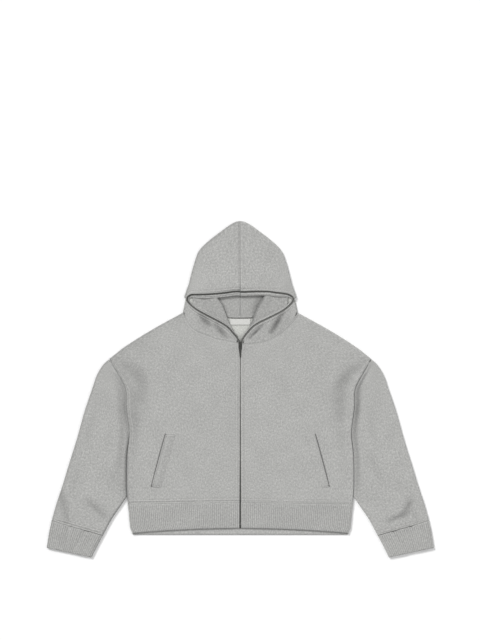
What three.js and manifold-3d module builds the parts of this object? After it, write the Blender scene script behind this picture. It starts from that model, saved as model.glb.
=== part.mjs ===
// A zip-up hooded sweatshirt laid flat on its back, as solid walls of cloth.
// Millimetres, +Z up, +Y towards the hood, origin on the floor under the middle of the whole.
// One half is described from the middle line outwards: "out" is the distance from the middle line,
// "up" the distance towards the hood. Where the halves differ, a table has a column for each.
import * as THREE from 'three';
import { mergeVertices } from 'three/addons/utils/BufferGeometryUtils.js';
import Module from 'manifold-3d';

const wasm = await Module();
wasm.setup();

// Driving sizes
const CLOTH = 2.2;              // fleece, thickness
const RIB = 2.4;                // rib knit, thickness without its ribs
const RIB_RAISE = 0.9;          // how far a rib stands out of its band
const RIB_PITCH = 5;            // from one rib to the next
const SEAM = 0.3;               // gap between neighbouring pieces
const ROLL = 4.2;               // radius of a rounded edge, where front and back meet
const CHEST_TOP = 7.4;          // height of the front's face on the chest
const CLOTH_ZIP = 34;           // how far from the zip the front's face reaches that height
const RIDGE_TOP = 14;           // height of the ridge along the armhole
const SLEEVE_CROWN = 9.6;       // height of the sleeve's face in its middle
const HEM_FRONT = { middle: -361, drop: 13 };   // lower edge of the hem band in front
const HEM_BACK = -378;          // lower edge of the hem band behind
const EDGE_SHELL = 2;           // from the zip's line to the hood's outer cloth beside it
const SHELL_CLEAR = 0.9;        // height of that cloth over the tape
const LABEL = { width: 53, height: 16, top: 183, thickness: 0.8 };
const NECK_TAPE = { half: 31, height: 5, thickness: 0.8 };
const TAPE = { body: 9, hood: 3.2, teeth: 1.5, thickness: 1 };
const WELT = { width: 25, thickness: 2 };
const LINING_EDGE = { inset: 2.6, width: 7.6, thickness: 4 };
const SLIDER = {
  up: 116,
  length: 15,
  half: 4.2,
  foot: 3,
  waist: 1.4,
  shoulder: 2,
  plate: 1.3,
  low: 2.6,
  gap: 0.3,
  post: { up: 4.5, width: 1.1, length: 3 },
};
const BRIDGE = { half: 1.2, thickness: 1.2, length: 8.4 };
const PULL = { half: 2.6, tip: 1.8, length: 33, corner: 1.2, thickness: 1.2, bar: 0.65 };
const PULL_SLOT = { half: 1.5, length: 5.4, wall: 1.4 };
const STOP = { half: 2, length: 9, low: 2.5, thickness: 3 };

// Outlines in the plan
const table = (columns, ...rows) =>
  rows.map((row) => Object.fromEntries(columns.map((column, place) => [column, row[place]])));

const SHOULDER = table(['out', 'up'], [149.5, 199], [235, 151.5], [302, 109], [324, 92], [340, 79]);
const BODY_SIDE = table(['out', 'up'],
  [340, 79], [328, 58], [316, 38], [306, 20], [299, 5], [296, -12], [296, -40], [293, -68],
  [289, -100], [288.5, -127], [291, -150], [294, -180], [295, -249], [292.5, -298.5]);
const SLEEVE_OUTER = table(['out', 'up'],
  [341.6, 77.4], [356, 64], [373, 36], [384, 4], [404, -55], [425, -130], [445, -194], [463, -253],
  [478, -298], [490, -341]);
const SLEEVE_INNER = table(['out', 'up'], [295.9, -281], [314, -308], [332, -334], [357, -380]);
const CUFF_OUTER = table(['out', 'up'], [490.2, -341.4], [496, -368], [503, -411.5]);
const CUFF_INNER = table(['out', 'up'], [357.2, -380.4], [371, -406], [386, -436.5]);
const HEM_SEAM = { middle: -293.5, side: -298.5, half: 292.5 };
const BAND_SIDE = table(['share', 'half'], [0, 292.5], [0.35, 289.5], [0.75, 287], [1, 281]);
const BACK_NECK = table(['out', 'up'], [0, 185], [60, 187], [110, 192], [149.5, 199]);
const FRONT_NECK = table(['out', 'left', 'right'],
  [4.8, 121, 119], [14, 123, 119.5], [37, 128, 121.5], [62, 132.5, 125.5], [84, 141, 134.5],
  [112, 152, 152.5], [131, 168, 173.5], [149.5, 198, 197]);
const HOOD_OUTLINE = table(['out', 'up'],
  [146, 239], [140, 257], [134, 274], [127, 302], [119, 330], [110, 355], [99, 370], [78, 389],
  [52, 409], [27, 427], [12, 435], [0, 437.5]);
const ZIP_EDGE = table(['up', 'half', 'top'],
  [-361, 2.4, 6.5], [-293, 2.1, 6.6], [-150, 1.3, 6.6], [40, 0.8, 6.6], [78, 0.9, 6.6], [90, 1.9, 6.7],
  [98, 3, 7], [108, 4.7, 8], [121, 4.8, 8.2]);
const ZIP_BODY = table(['out', 'up', 'top'],
  [0.3, -350, 3.9], [0.3, -293, 3.9], [0.3, -150, 3.9], [0.3, 0, 3.9], [0.3, 78, 3.9], [0.4, 98, 4.3],
  [0.8, 109, 5.2], [1.7, 117, 5.2]);
const ZIP_HOOD = table(['out', 'left', 'right', 'top'],
  [3.4, 125, 124.5, 5.2], [9, 134, 134, 6.4], [19.5, 146.5, 147.5, 8.6], [32.5, 160.5, 161.5, 10.4],
  [48, 171, 172, 11.6], [70, 182.7, 182.7, 12.6], [91, 193.7, 193, 12.6], [112, 205.5, 204.5, 9.6],
  [129, 219, 218.5, 5.6], [137, 229, 228.5, 5.1], [137.5, 238.5, 237, 5.1], [129, 245, 244.5, 6],
  [114, 246, 248.5, 9.4], [98, 246.3, 250.5, 11.8], [72, 247.5, 253.6, 12.3], [40, 250.5, 254, 12.3],
  [14, 254, 253, 12.3], [0.3, 254, 253, 12.3]);
const ZIP_CORNER = 0.545;       // share of that path at which the lower lip turns into the upper one
const FOLD = table(['out', 'up', 'flapOut', 'flapUp'],
  [64, 262, 116, 266], [63.5, 243, 123, 240], [47, 215, 118, 212], [41, 200, 91, 189],
  [35, 184, 62, 174], [26.5, 165, 31.5, 164.5], [20, 154.5, 24, 155.5]);
const FLAP = { fold: 9.7, foldLow: 7.6, top: 7.2, sink: 4.8, reach: 30, under: 12 };
const POCKET = table(['out', 'up'], [193.5, -115], [231, -254]);

// Heights. A fold is a line in the plan that lifts the cloth by "lift", or lowers it, fading over "spread".
const EDGE_TOP = table(['share', 'height'],
  [0, 8.4], [0.37, 8.4], [0.405, 11], [0.44, RIDGE_TOP], [0.56, RIDGE_TOP], [0.66, 12.5], [0.76, 10.4],
  [0.84, 9], [1, 8.4]);
const FOLD_COLUMNS = ['out', 'up', 'toOut', 'toUp', 'lift', 'spread'];
const FRONT_FOLDS = {
  left: table(FOLD_COLUMNS,
    [300, 52, 262, 10, -2.2, 17], [262, 10, 258, -60, -1.6, 20], [170, 110, 215, 40, 1.2, 26]),
  right: table(FOLD_COLUMNS,
    [318, 52, 275, 22, -2.2, 15], [272, 20, 258, -70, -1.8, 20], [150, 90, 200, 10, 1.2, 26]),
};
const SLEEVE_FOLDS = {
  left: table(FOLD_COLUMNS,
    [452, -302, 470, -352, -2.2, 8], [352, -300, 386, -340, -2, 9], [404, -290, 384, -345, 1.4, 10]),
  right: table(FOLD_COLUMNS,
    [408, -292, 442, -332, -2.2, 9], [370, -306, 404, -352, -2, 9], [385, -270, 420, -300, 1.4, 12]),
};
const SLIT = { depth: 3.2, away: 12, spread: 8, lip: 0.7 };    // the sleeve dips beside the armhole ridge
const COLLAR_FOLDS = {
  left: table(FOLD_COLUMNS, [104, 190, 78, 166, -2, 7], [58, 166, 34, 134, -2, 6]),
  right: table(FOLD_COLUMNS, [110, 200, 82, 146, -2, 7], [56, 165, 26, 134, -2, 6]),
};

// Curves and surfaces
const { clamp, lerp, smoothstep } = THREE.MathUtils;
const plan = (out, up, height = 0) => new THREE.Vector3(out, up, height);

function curveThrough(points) {
  const curve = new THREE.CatmullRomCurve3(points, false, 'centripetal');
  curve.arcLengthDivisions = 600;
  return (share) => curve.getPointAt(clamp(share, 0, 1));
}

const curveOf = (rows, up = 'up') => curveThrough(rows.map((row) => plan(row.out, row[up])));

// The value of one column where another has the value "at", eased between its rows.
function columnAt(rows, key, value, at) {
  const next = rows.findIndex((row) => row[key] >= at);
  if (next === 0) return rows[0][value];
  if (next < 0) return rows.at(-1)[value];
  const before = rows[next - 1];
  return lerp(before[value], rows[next][value], smoothstep(at, before[key], rows[next][key]));
}

// The direction square to a plan curve, on its right-hand side as the share grows.
function rightOf(curve, share) {
  const step = 0.004;
  const along = curve(Math.min(share + step, 1)).sub(curve(Math.max(share - step, 0)));
  return plan(along.y, -along.x).normalize();
}

// A four-sided patch between curves that meet at its corners.
function patch(inner, outer, top, bottom) {
  const corner = [inner(0), outer(0), inner(1), outer(1)];
  return (s, t) => {
    const point = inner(t).multiplyScalar(1 - s).addScaledVector(outer(t), s);
    point.addScaledVector(top(s), 1 - t).addScaledVector(bottom(s), t);
    point.addScaledVector(corner[0], -(1 - s) * (1 - t)).addScaledVector(corner[1], -s * (1 - t));
    return point.addScaledVector(corner[2], -(1 - s) * t).addScaledVector(corner[3], -s * t);
  };
}

// A smooth hump of height 1 that fades over "spread".
const hump = (away, spread) => Math.exp(-((away / spread) ** 2));

function foldsLift(folds, out, up) {
  let lift = 0;
  for (const fold of folds) {
    const along = plan(fold.toOut - fold.out, fold.toUp - fold.up);
    const from = plan(out - fold.out, up - fold.up);
    const share = clamp(from.dot(along) / along.lengthSq(), 0, 1);
    const away = from.addScaledVector(along, -share).length();
    lift += fold.lift * hump(away, fold.spread);
  }
  return lift;
}

// Triangles
function bridge(corners, first, second, firstShares, secondShares) {
  let i = 0;
  let j = 0;
  while (i < first.length - 1 || j < second.length - 1) {
    const stepFirst = j === second.length - 1
      || (i < first.length - 1 && firstShares[i + 1] <= secondShares[j + 1] + 1e-9);
    if (stepFirst) {
      corners.push(first[i], first[i + 1], second[j]);
      i += 1;
    } else {
      corners.push(first[i], second[j + 1], second[j]);
      j += 1;
    }
  }
}

function geometryOf(corners) {
  const kept = [];
  let volume = 0;
  for (let i = 0; i < corners.length; i += 3) {
    const [a, b, c] = [corners[i], corners[i + 1], corners[i + 2]];
    const square = b.clone().sub(a).cross(c.clone().sub(a)).length();
    if (square > 1e-7) {
      kept.push(a, b, c);
      volume += a.dot(b.clone().cross(c));
    }
  }
  if (volume < 0) kept.reverse();
  return mergeVertices(new THREE.BufferGeometry().setFromPoints(kept), 2e-4);
}

// A closed wall of cloth. "face" gives its outer face for a column and a row, "inward" says on which
// side of it the wall lies, and "raise" lifts ribs out of the face. From the row "closedFrom" on, the
// last column is the first one again, so that the wall is a tube there and cut open before it. No point
// lies nearer to the middle line than "leastOut", and none of the inner face lower than "innerLow".
function cloth(options) {
  const { face, columns, innerColumns = columns, rows, wall = CLOTH, inward = 1, raise } = options;
  const { closedFrom, leastOut = -Infinity, innerLow = 0 } = options;
  const closed = closedFrom ?? rows.length;
  const normalAt = (u, v, row) => {
    const step = 1e-3;
    const across = face(u + step, v).sub(face(u - step, v));
    const along = face(u, rows[row + 1] ?? v).sub(face(u, rows[row - 1] ?? v));
    return across.cross(along).normalize().multiplyScalar(inward);
  };
  const lay = (list, low, depthAt) => rows.map((v, row) => {
    const line = list.map((u) => face(u, v).addScaledVector(normalAt(u, v, row), depthAt(u, v)));
    if (row >= closed) line[line.length - 1] = line[0].clone();
    line.forEach((point) => point.set(Math.max(point.x, leastOut), point.y, Math.max(point.z, low)));
    return line;
  });
  const outer = lay(columns, 0, (u, v) => (raise ? -raise(u, v) : 0));
  const inner = lay(innerColumns, innerLow, () => wall);
  const shares = (list) => list.map((u) => (u - list[0]) / (list.at(-1) - list[0]));
  const [outerShares, innerShares] = [shares(columns), shares(innerColumns)];
  const corners = [];
  for (let row = 0; row < rows.length - 1; row += 1) {
    bridge(corners, outer[row], outer[row + 1], outerShares, outerShares);
    bridge(corners, inner[row + 1], inner[row], innerShares, innerShares);
  }
  bridge(corners, inner[0], outer[0], innerShares, outerShares);
  bridge(corners, outer.at(-1), inner.at(-1), outerShares, innerShares);
  const open = rows.slice(0, closed + 1);
  if (closed > 0) {
    const down = shares(open);
    const edge = (grid, column) => grid.slice(0, closed + 1).map((line) => line.at(column));
    bridge(corners, edge(outer, 0), edge(inner, 0), down, down);
    bridge(corners, edge(inner, -1), edge(outer, -1), down, down);
  }
  return geometryOf(corners);
}

function solidOf(geometry) {
  return new wasm.Manifold(new wasm.Mesh({
    numProp: 3,
    vertProperties: new Float32Array(geometry.attributes.position.array),
    triVerts: new Uint32Array(geometry.index.array),
  }));
}

function geometryFrom(solid) {
  const mesh = solid.getMesh();
  const geometry = new THREE.BufferGeometry();
  geometry.setAttribute('position', new THREE.BufferAttribute(new Float32Array(mesh.vertProperties), 3));
  geometry.setIndex(new THREE.BufferAttribute(new Uint32Array(mesh.triVerts), 1));
  return geometry;
}

const joined = (...parts) => geometryFrom(parts.map(solidOf).reduce((whole, next) => whole.add(next)));

const merged = (geometry) => {
  geometry.deleteAttribute('normal');
  geometry.deleteAttribute('uv');
  return mergeVertices(geometry);
};

function mirrored(geometry) {
  const points = geometry.toNonIndexed().attributes.position;
  const corners = [];
  for (let i = 0; i < points.count; i += 1) {
    corners.push(plan(-points.getX(i), points.getY(i), points.getZ(i)));
  }
  return geometryOf(corners);
}

// The body's outer edge runs down the shoulder, round its point, and down the armhole and the side.
const SHOULDER_SHARE = 0.37;
const UNDERARM_SHARE = 0.776;
const shoulderCurve = curveOf(SHOULDER);
const sideCurve = curveOf(BODY_SIDE);
const bodyEdge = (t) => (t < SHOULDER_SHARE
  ? shoulderCurve(t / SHOULDER_SHARE)
  : sideCurve((t - SHOULDER_SHARE) / (1 - SHOULDER_SHARE)));
const edgeTop = (t) => columnAt(EDGE_TOP, 'share', 'height', t);
const edgeInward = (t) => rightOf(bodyEdge, t);
const insetEdge = (t) => bodyEdge(t).addScaledVector(edgeInward(t), ROLL);
const hemSeamUp = (out) => lerp(HEM_SEAM.middle, HEM_SEAM.side, out / HEM_SEAM.half);

const BODY_ROWS = [0, 0.06, 0.13, 0.2, 0.27, 0.33, 0.358, SHOULDER_SHARE, 0.382, 0.41, 0.44, 0.48,
  0.53, 0.59, 0.65, 0.7, 0.74, UNDERARM_SHARE, 0.82, 0.88, 0.94, 1];
const ROLL_COLUMNS = [1, 1.34, 1.67, 2];

// The front's face away from its outer edge.
function frontTop(side, out, up) {
  const zip = columnAt(ZIP_EDGE, 'up', 'top', up);
  return lerp(zip, CHEST_TOP, smoothstep(out, 3, CLOTH_ZIP)) + foldsLift(FRONT_FOLDS[side], out, up);
}

const edgeRise = (away, rise) => rise * (1 - smoothstep(away, 0, 16 + 2.2 * rise));

// The front neck seam, which ends where the shoulder's edge begins to round.
function frontNeck(side) {
  const neck = curveOf(FRONT_NECK, side);
  const end = insetEdge(0).sub(neck(1));
  return (s) => neck(s).addScaledVector(end, smoothstep(s, 0.8, 1));
}
const NECK_COLUMNS = [0, 0.03, 0.09, 0.2, 0.36, 0.52, 0.66, 0.76, 0.84, 0.9, 0.95];

function frontFace(side) {
  const top = frontNeck(side);
  const zipEdge = (t) => {
    const up = lerp(top(0).y, hemSeamUp(0), t);
    return plan(columnAt(ZIP_EDGE, 'up', 'half', up), up);
  };
  const bottom = (s) => {
    const out = lerp(zipEdge(1).x, insetEdge(1).x, s);
    return plan(out, hemSeamUp(out));
  };
  const flat = patch(zipEdge, insetEdge, top, bottom);
  return (s, t) => {
    if (s > 1) {
      const turn = (2 - s) * Math.PI / 2;
      const point = bodyEdge(t).addScaledVector(edgeInward(t), ROLL * (1 - Math.cos(turn)));
      return point.setZ(edgeTop(t) - ROLL + ROLL * Math.sin(turn));
    }
    const point = flat(s, t);
    const away = point.distanceTo(insetEdge(t));
    const folds = frontTop(side, point.x, point.y) - CHEST_TOP;
    return point.setZ(CHEST_TOP + folds * smoothstep(away, 0, 14) + edgeRise(away, edgeTop(t) - CHEST_TOP));
  };
}

function front(side) {
  const columns = [...NECK_COLUMNS, ...ROLL_COLUMNS];
  return cloth({ face: frontFace(side), columns, rows: BODY_ROWS, innerLow: CLOTH + SEAM });
}

// The back lies on the floor and turns up to meet the front along the shoulders and the sides.
function backFace(u, t) {
  const s = Math.abs(u);
  const armhole = smoothstep(t, 0.358, 0.384) * (1 - smoothstep(t, 0.755, 0.79));
  const middle = (share) => plan(0, lerp(BACK_NECK[0].up, hemSeamUp(0), share));
  const neck = curveOf(BACK_NECK);
  const neckEnd = insetEdge(0).sub(neck(1));
  const top = (share) => neck(share).addScaledVector(neckEnd, smoothstep(share, 0.8, 1));
  const bottom = (share) => plan(share * insetEdge(1).x, hemSeamUp(share * insetEdge(1).x));
  const turn = (2 - s) * Math.PI / 2;
  const point = s <= 1
    ? patch(middle, insetEdge, top, bottom)(s, t)
    : bodyEdge(t).addScaledVector(edgeInward(t), ROLL * (1 - Math.cos(turn)));
  const rim = (edgeTop(t) - ROLL - SEAM) * (1 - armhole);
  point.x *= Math.sign(u);
  return point.setZ(s <= 1 ? 0 : rim * (1 - Math.sin(turn)));
}

function back() {
  const half = [0.001, 0.25, 0.5, 0.75, 0.92, ...ROLL_COLUMNS];
  const columns = [...half.map((s) => -s).reverse(), ...half];
  return cloth({ face: backFace, columns, rows: BODY_ROWS, inward: -1 });
}

// A sleeve is a tube between its outer edge and the line that it shares with the body: cut open along
// the armhole, closed below the underarm.
const SLEEVE_BODY = { from: 0.382, to: 0.97, share: 0.75 };
const sleeveInner = curveOf(SLEEVE_INNER);
const sleeveOuter = curveOf(SLEEVE_OUTER);
const sleeveShare = (bodyShare) =>
  SLEEVE_BODY.share * (bodyShare - SLEEVE_BODY.from) / (SLEEVE_BODY.to - SLEEVE_BODY.from);
function sleeveLine(t) {
  if (t >= SLEEVE_BODY.share) return sleeveInner((t - SLEEVE_BODY.share) / (1 - SLEEVE_BODY.share));
  const share = lerp(SLEEVE_BODY.from, SLEEVE_BODY.to, Math.max(t, 0) / SLEEVE_BODY.share);
  return bodyEdge(share).addScaledVector(edgeInward(share), -0.45);
}
const UNDERARM = sleeveShare(UNDERARM_SHARE);

function sleeveFace(side) {
  return (u, t) => {
    const outerIn = rightOf(sleeveOuter, t);
    const innerIn = rightOf(sleeveLine, t).negate();
    const shut = smoothstep(t, UNDERARM - 0.12, UNDERARM);
    const from = sleeveLine(t).addScaledVector(innerIn, ROLL);
    const to = sleeveOuter(t).addScaledVector(outerIn, ROLL);
    const across = clamp(u <= 3 ? u : 4 - u, 0, 1);
    const point = from.clone().lerp(to, across);
    const away = point.distanceTo(from) + ROLL;
    const width = from.distanceTo(to);
    const crown = (SLEEVE_CROWN - 2 * ROLL) * Math.sin(Math.PI * across) * smoothstep(width, 5, 60);
    const slit = (1 - smoothstep(t, UNDERARM, UNDERARM + 0.25)) * smoothstep(width, 5, 50);
    const dip = slit * SLIT.depth * hump(away - SLIT.away, SLIT.spread) * (1 - hump(away, 7));
    const lip = (1 - shut) * SLIT.lip * hump(away, 6);
    const edges = smoothstep(across, 0, 0.1) * smoothstep(1 - across, 0, 0.1);
    const folds = edges * foldsLift(SLEEVE_FOLDS[side], point.x, point.y);
    const ridge = edgeTop(lerp(SLEEVE_BODY.from, SLEEVE_BODY.to, t / SLEEVE_BODY.share));
    const rise = (1 - shut) * Math.max(0, ridge + 0.5 - 3 * ROLL) * hump(away - ROLL, 9);
    const top = 2 * ROLL + crown - dip + lip + rise + folds;
    if (u > 1 && u < 3) {
      const turn = (2 - u) * Math.PI / 2;
      point.addScaledVector(outerIn, -ROLL * Math.cos(turn));
      return point.setZ(ROLL + ROLL * Math.sin(turn));
    }
    if (u < 0 || u > 4) {
      const turn = (u < 0 ? 1 + u : u - 5) * Math.PI / 2;
      const bend = ROLL * (u < 0 ? -u : u - 4);
      point.addScaledVector(innerIn, -lerp(bend, ROLL * Math.cos(turn), shut));
      const height = u < 0 ? top : 0;
      return point.setZ(lerp(height, (u < 0 ? top - ROLL : ROLL) + ROLL * Math.sin(turn), shut));
    }
    return point.setZ(u <= 1 ? top : 0);
  };
}

function sleeve(side) {
  const columns = [-1, -0.67, -0.34, 0, 0.06, 0.16, 0.32, 0.5, 0.68, 0.84, 1, 1.34, 1.67, 2, 2.33, 2.66,
    3, 3.4, 4, 4.34, 4.67, 5];
  const beside = BODY_ROWS.filter((t) => t >= SLEEVE_BODY.from && t < SLEEVE_BODY.to).map(sleeveShare);
  const rows = [...beside, SLEEVE_BODY.share + 0.004, 0.8, 0.85, 0.9, 0.94, 0.97, 1];
  const closedFrom = rows.findIndex((t) => t > UNDERARM - 1e-6);
  return cloth({ face: sleeveFace(side), columns, rows, closedFrom });
}

// A cuff is a tube of rib knit, with its ribs on the upper side.
function cuffFace(u, t) {
  const outer = curveOf(CUFF_OUTER);
  const inner = curveOf(CUFF_INNER);
  const across = outer(t).sub(inner(t)).normalize();
  const from = inner(t).addScaledVector(across, ROLL);
  const to = outer(t).addScaledVector(across, -ROLL);
  const turning = (u > 1 && u < 3) || u > 4;
  const point = from.lerp(to, clamp(u <= 3 ? u : 4 - u, 0, 1));
  const turn = (u <= 3 ? 2 - u : u - 5) * Math.PI / 2;
  if (turning) point.addScaledVector(across, (u <= 3 ? ROLL : -ROLL) * Math.cos(turn));
  return point.setZ(turning ? ROLL + ROLL * Math.sin(turn) : (u <= 1 ? 2 * ROLL : 0));
}

const ribRaise = (length) => {
  const waves = 2 * Math.round(length / RIB_PITCH);
  return { waves, raise: (share) => RIB_RAISE * (Math.round(share * waves) % 2) };
};

function cuff() {
  const { waves, raise } = ribRaise(118);
  const ribs = Array.from({ length: waves + 1 }, (_, place) => place / waves);
  const round = [1.34, 1.67, 2, 2.33, 2.66, 3, 3.5, 4, 4.33, 4.66, 5, 5.33, 5.66, 6];
  return cloth({
    face: cuffFace,
    columns: [...ribs, ...round],
    innerColumns: [0, 0.25, 0.5, 0.75, 1, ...round],
    rows: [0, 0.5, 1],
    wall: RIB,
    raise: (u) => (u <= 1 ? raise(u) : 0),
    closedFrom: 0,
  });
}

// The hem band runs from one side of the zip round the back to the other.
function bandFace(u, v) {
  const s = Math.abs(u);
  const half = columnAt(BAND_SIDE, 'share', 'half', v);
  const turn = (s - 2) * Math.PI / 2;
  const up = clamp(v, -0.1, 1.1);
  const edge = lerp(0, half - ROLL, s <= 1 ? s : 1);
  const zipHalf = columnAt(ZIP_EDGE, 'up', 'half', lerp(-293, -361, v));
  const frontOut = lerp(half - ROLL, zipHalf, clamp(s - 3, 0, 1));
  const out = s <= 1 ? edge : (s < 3 ? half - ROLL + ROLL * Math.cos(turn) : frontOut);
  const frontShare = s <= 1 ? 0 : (s < 3 ? (s - 1) / 2 : 1);
  const top = hemSeamUp(out) - SEAM;
  const frontLow = HEM_FRONT.middle - HEM_FRONT.drop * (out / half) ** 2;
  const low = lerp(HEM_BACK, frontLow, frontShare);
  const rolled = ROLL + ROLL * Math.sin(turn);
  const faceTop = frontTop('left', out, -330) + edgeRise(half - ROLL - out, 2 * ROLL - CHEST_TOP);
  const height = s <= 1 ? 0 : (s < 3 ? rolled : faceTop);
  return plan(out * Math.sign(u), lerp(top, low, up), height);
}

function hemBand() {
  const { waves, raise } = ribRaise(285);
  const front = Array.from({ length: waves + 1 }, (_, place) => 3 + place / waves);
  const round = [0.001, 0.5, 1, 1.33, 1.66, 2, 2.33, 2.66];
  const both = (half) => [...half.map((s) => -s).reverse(), ...half];
  return cloth({
    face: bandFace,
    columns: both([...round, ...front]),
    innerColumns: both([...round, 3, 3.04, 3.2, 3.45, 3.7, 3.88, 3.95, 4]),
    rows: [0, 0.35, 0.75, 1],
    wall: RIB,
    inward: -1,
    raise: (u) => (Math.abs(u) >= 3 ? raise(Math.abs(u) - 3) : 0),
  });
}

// A welt lies on the front, along the pocket's opening.
function welt(side) {
  const [top, low] = POCKET;
  const face = (u, v) => {
    const out = lerp(top.out, low.out, v) - u * WELT.width;
    const up = lerp(top.up, low.up, v) - u * lerp(1, 4, v);
    return plan(out, up, frontTop(side, out, up) + SEAM + WELT.thickness);
  };
  return cloth({ face, columns: [0, 0.5, 1], rows: [0, 0.5, 1], wall: WELT.thickness, inward: -1 });
}

// The zip's line round the hood, from the neck along the lower lip, round the corner and along the top.
function zipLine(side) {
  const line = curveThrough(ZIP_HOOD.map((row) => plan(row.out, row[side], row.top)));
  const flat = curveOf(ZIP_HOOD, side);
  return (share, offset) => {
    const point = line(share);
    const square = rightOf(flat, share);
    return point.addScaledVector(square, offset);
  };
}

function zipTape(side) {
  const body = ZIP_BODY.map((row) => plan(row.out, row.up, row.top));
  const hood = ZIP_HOOD.map((row) => plan(row.out, row[side], row.top));
  const line = curveThrough([...body, ...hood]);
  const flat = curveThrough([...body, ...hood].map((point) => plan(point.x, point.y)));
  const bodyShare = 0.58;
  const face = (u, v) => {
    const hooded = smoothstep(v, bodyShare, bodyShare + 0.03);
    const offset = lerp(lerp(0, -TAPE.teeth, hooded), lerp(TAPE.body, TAPE.hood, hooded), u);
    return line(v).addScaledVector(rightOf(flat, v), offset);
  };
  const rows = [0, 0.15, 0.3, 0.45, 0.52, 0.55, 0.56, 0.57, 0.58];
  for (let step = 1; step <= 30; step += 1) rows.push(lerp(bodyShare, 1, step / 30));
  return cloth({ face, columns: [0, 1], rows, wall: TAPE.thickness, inward: -1 });
}

// Each half of the hood: its upper part folds over at the outline and runs back under the mouth to the
// neck, and its collar lies between the lower lip and the front neck seam.
function hoodTop(side) {
  const line = zipLine(side);
  const outline = curveOf(HOOD_OUTLINE);
  const neck = curveOf([...BACK_NECK].reverse());
  const face = (v, u) => {
    const inward = rightOf(outline, u).negate();
    const lip = line(lerp(ZIP_CORNER, 1, u), EDGE_SHELL);
    const fold = outline(u).addScaledVector(inward, ROLL);
    const seam = neck(u);
    seam.y += SEAM;
    const lipTop = lip.z + SHELL_CLEAR + CLOTH;
    lip.z = 0;
    if (v <= 1) return lip.lerp(fold, v).setZ(2 * ROLL + (lipTop - 2 * ROLL) * (1 - smoothstep(v, 0, 1)));
    if (v < 3) {
      const turn = (2 - v) * Math.PI / 2;
      return fold.addScaledVector(inward, -ROLL * Math.cos(turn)).setZ(ROLL + ROLL * Math.sin(turn));
    }
    return fold.lerp(seam, v - 3);
  };
  const columns = [0, 0.12, 0.3, 0.6, 1, 1.4, 1.8, 2.2, 2.6, 3, 3.5, 4];
  const rows = [0, 0.03, 0.08, 0.15, 0.24, 0.34, 0.44, 0.54, 0.64, 0.76, 0.88, 0.96, 0.999];
  return cloth({ face, columns, rows, inward: -1, leastOut: SEAM / 2 });
}

function collar(side) {
  const line = zipLine(side);
  const neck = frontNeck(side);
  const [first, last] = [NECK_COLUMNS[1], 0.97];
  const face = (w, v) => {
    const along = clamp((w - first) / (last - first), 0, 1);
    const lip = line(lerp(0.02, ZIP_CORNER - 0.015, along), EDGE_SHELL);
    const seam = neck(clamp(w, first, last));
    seam.y += SEAM;
    seam.y = lerp(seam.y, SHOULDER[0].up + 0.8, smoothstep(w, NECK_COLUMNS.at(-1), last));
    const lipTop = lip.z + SHELL_CLEAR + CLOTH;
    const seamTop = frontTop(side, seam.x, seam.y);
    lip.z = 0;
    const point = lip.lerp(seam, v);
    const share = Math.sin(Math.PI * clamp(v, 0, 1)) * (1 - along);
    const folds = share * foldsLift(COLLAR_FOLDS[side], point.x, point.y);
    const sloped = lerp(lipTop, seamTop, smoothstep(v, -0.1, 1));
    const top = lerp(sloped, 2 * ROLL, smoothstep(along, 0.85, 1)) + folds;
    if (w <= last) return point.setZ(top);
    const turn = (2 - clamp(w, 1, 3)) * Math.PI / 2;
    point.x += ROLL * Math.cos(turn);
    if (w > 3) point.x -= 9 * (w - 3);
    return point.setZ(w > 3 ? 0 : ROLL + ROLL * Math.sin(turn));
  };
  const columns = [...NECK_COLUMNS.slice(1), last, 1.34, 1.67, 2, 2.33, 2.67, 3, 4];
  return cloth({ face, columns, rows: [0, 0.2, 0.45, 0.7, 1] });
}

// Each half of the lining: the part that lies in the hood, the flap that is folded over it, and the
// doubled edge along the zip.
function liningFloor() {
  const face = (u, v) => {
    const low = columnAt(BACK_NECK, 'out', 'up', u) + SEAM;
    return plan(u, lerp(low, 274, v), CLOTH + SEAM);
  };
  const columns = [0.15, 30, 60, 90, 110, 122];
  return cloth({ face, columns, rows: [0, 0.5, 1], inward: 1 });
}

function liningFlap() {
  const fold = curveOf(FOLD);
  const far = curveThrough(FOLD.map((row) => plan(row.flapOut, row.flapUp)));
  const radius = (CLOTH * 2 + SEAM) / 2;
  const face = (u, v) => {
    const from = fold(v);
    const away = far(v).sub(from);
    const width = away.length();
    const crest = lerp(FLAP.fold, FLAP.foldLow, smoothstep(v, 0.6, 0.85));
    away.normalize();
    if (u >= 1) {
      const distance = lerp(radius, width, u - 1);
      const settle = smoothstep(distance, radius, FLAP.reach);
      const outerPart = smoothstep(from.x + distance, 98, 120);
      const top = lerp(lerp(crest, FLAP.top, settle), FLAP.sink, outerPart);
      return from.addScaledVector(away, distance).setZ(top);
    }
    const turn = u * Math.PI - Math.PI / 2;
    if (u >= 0) {
      const height = crest - radius + radius * Math.sin(turn);
      return from.addScaledVector(away, radius * (1 - Math.cos(turn))).setZ(height);
    }
    const under = Math.max(radius + 0.5, Math.min(FLAP.under, width - radius));
    return from.addScaledVector(away, lerp(radius, under, -u)).setZ(crest - 2 * radius);
  };
  const columns = [-1, 0, 0.25, 0.5, 0.75, 1, 1.15, 1.35, 1.6, 1.8, 2];
  return cloth({ face, columns, rows: [0, 0.18, 0.4, 0.55, 0.7, 0.85, 1], innerLow: CLOTH + SEAM });
}

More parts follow.
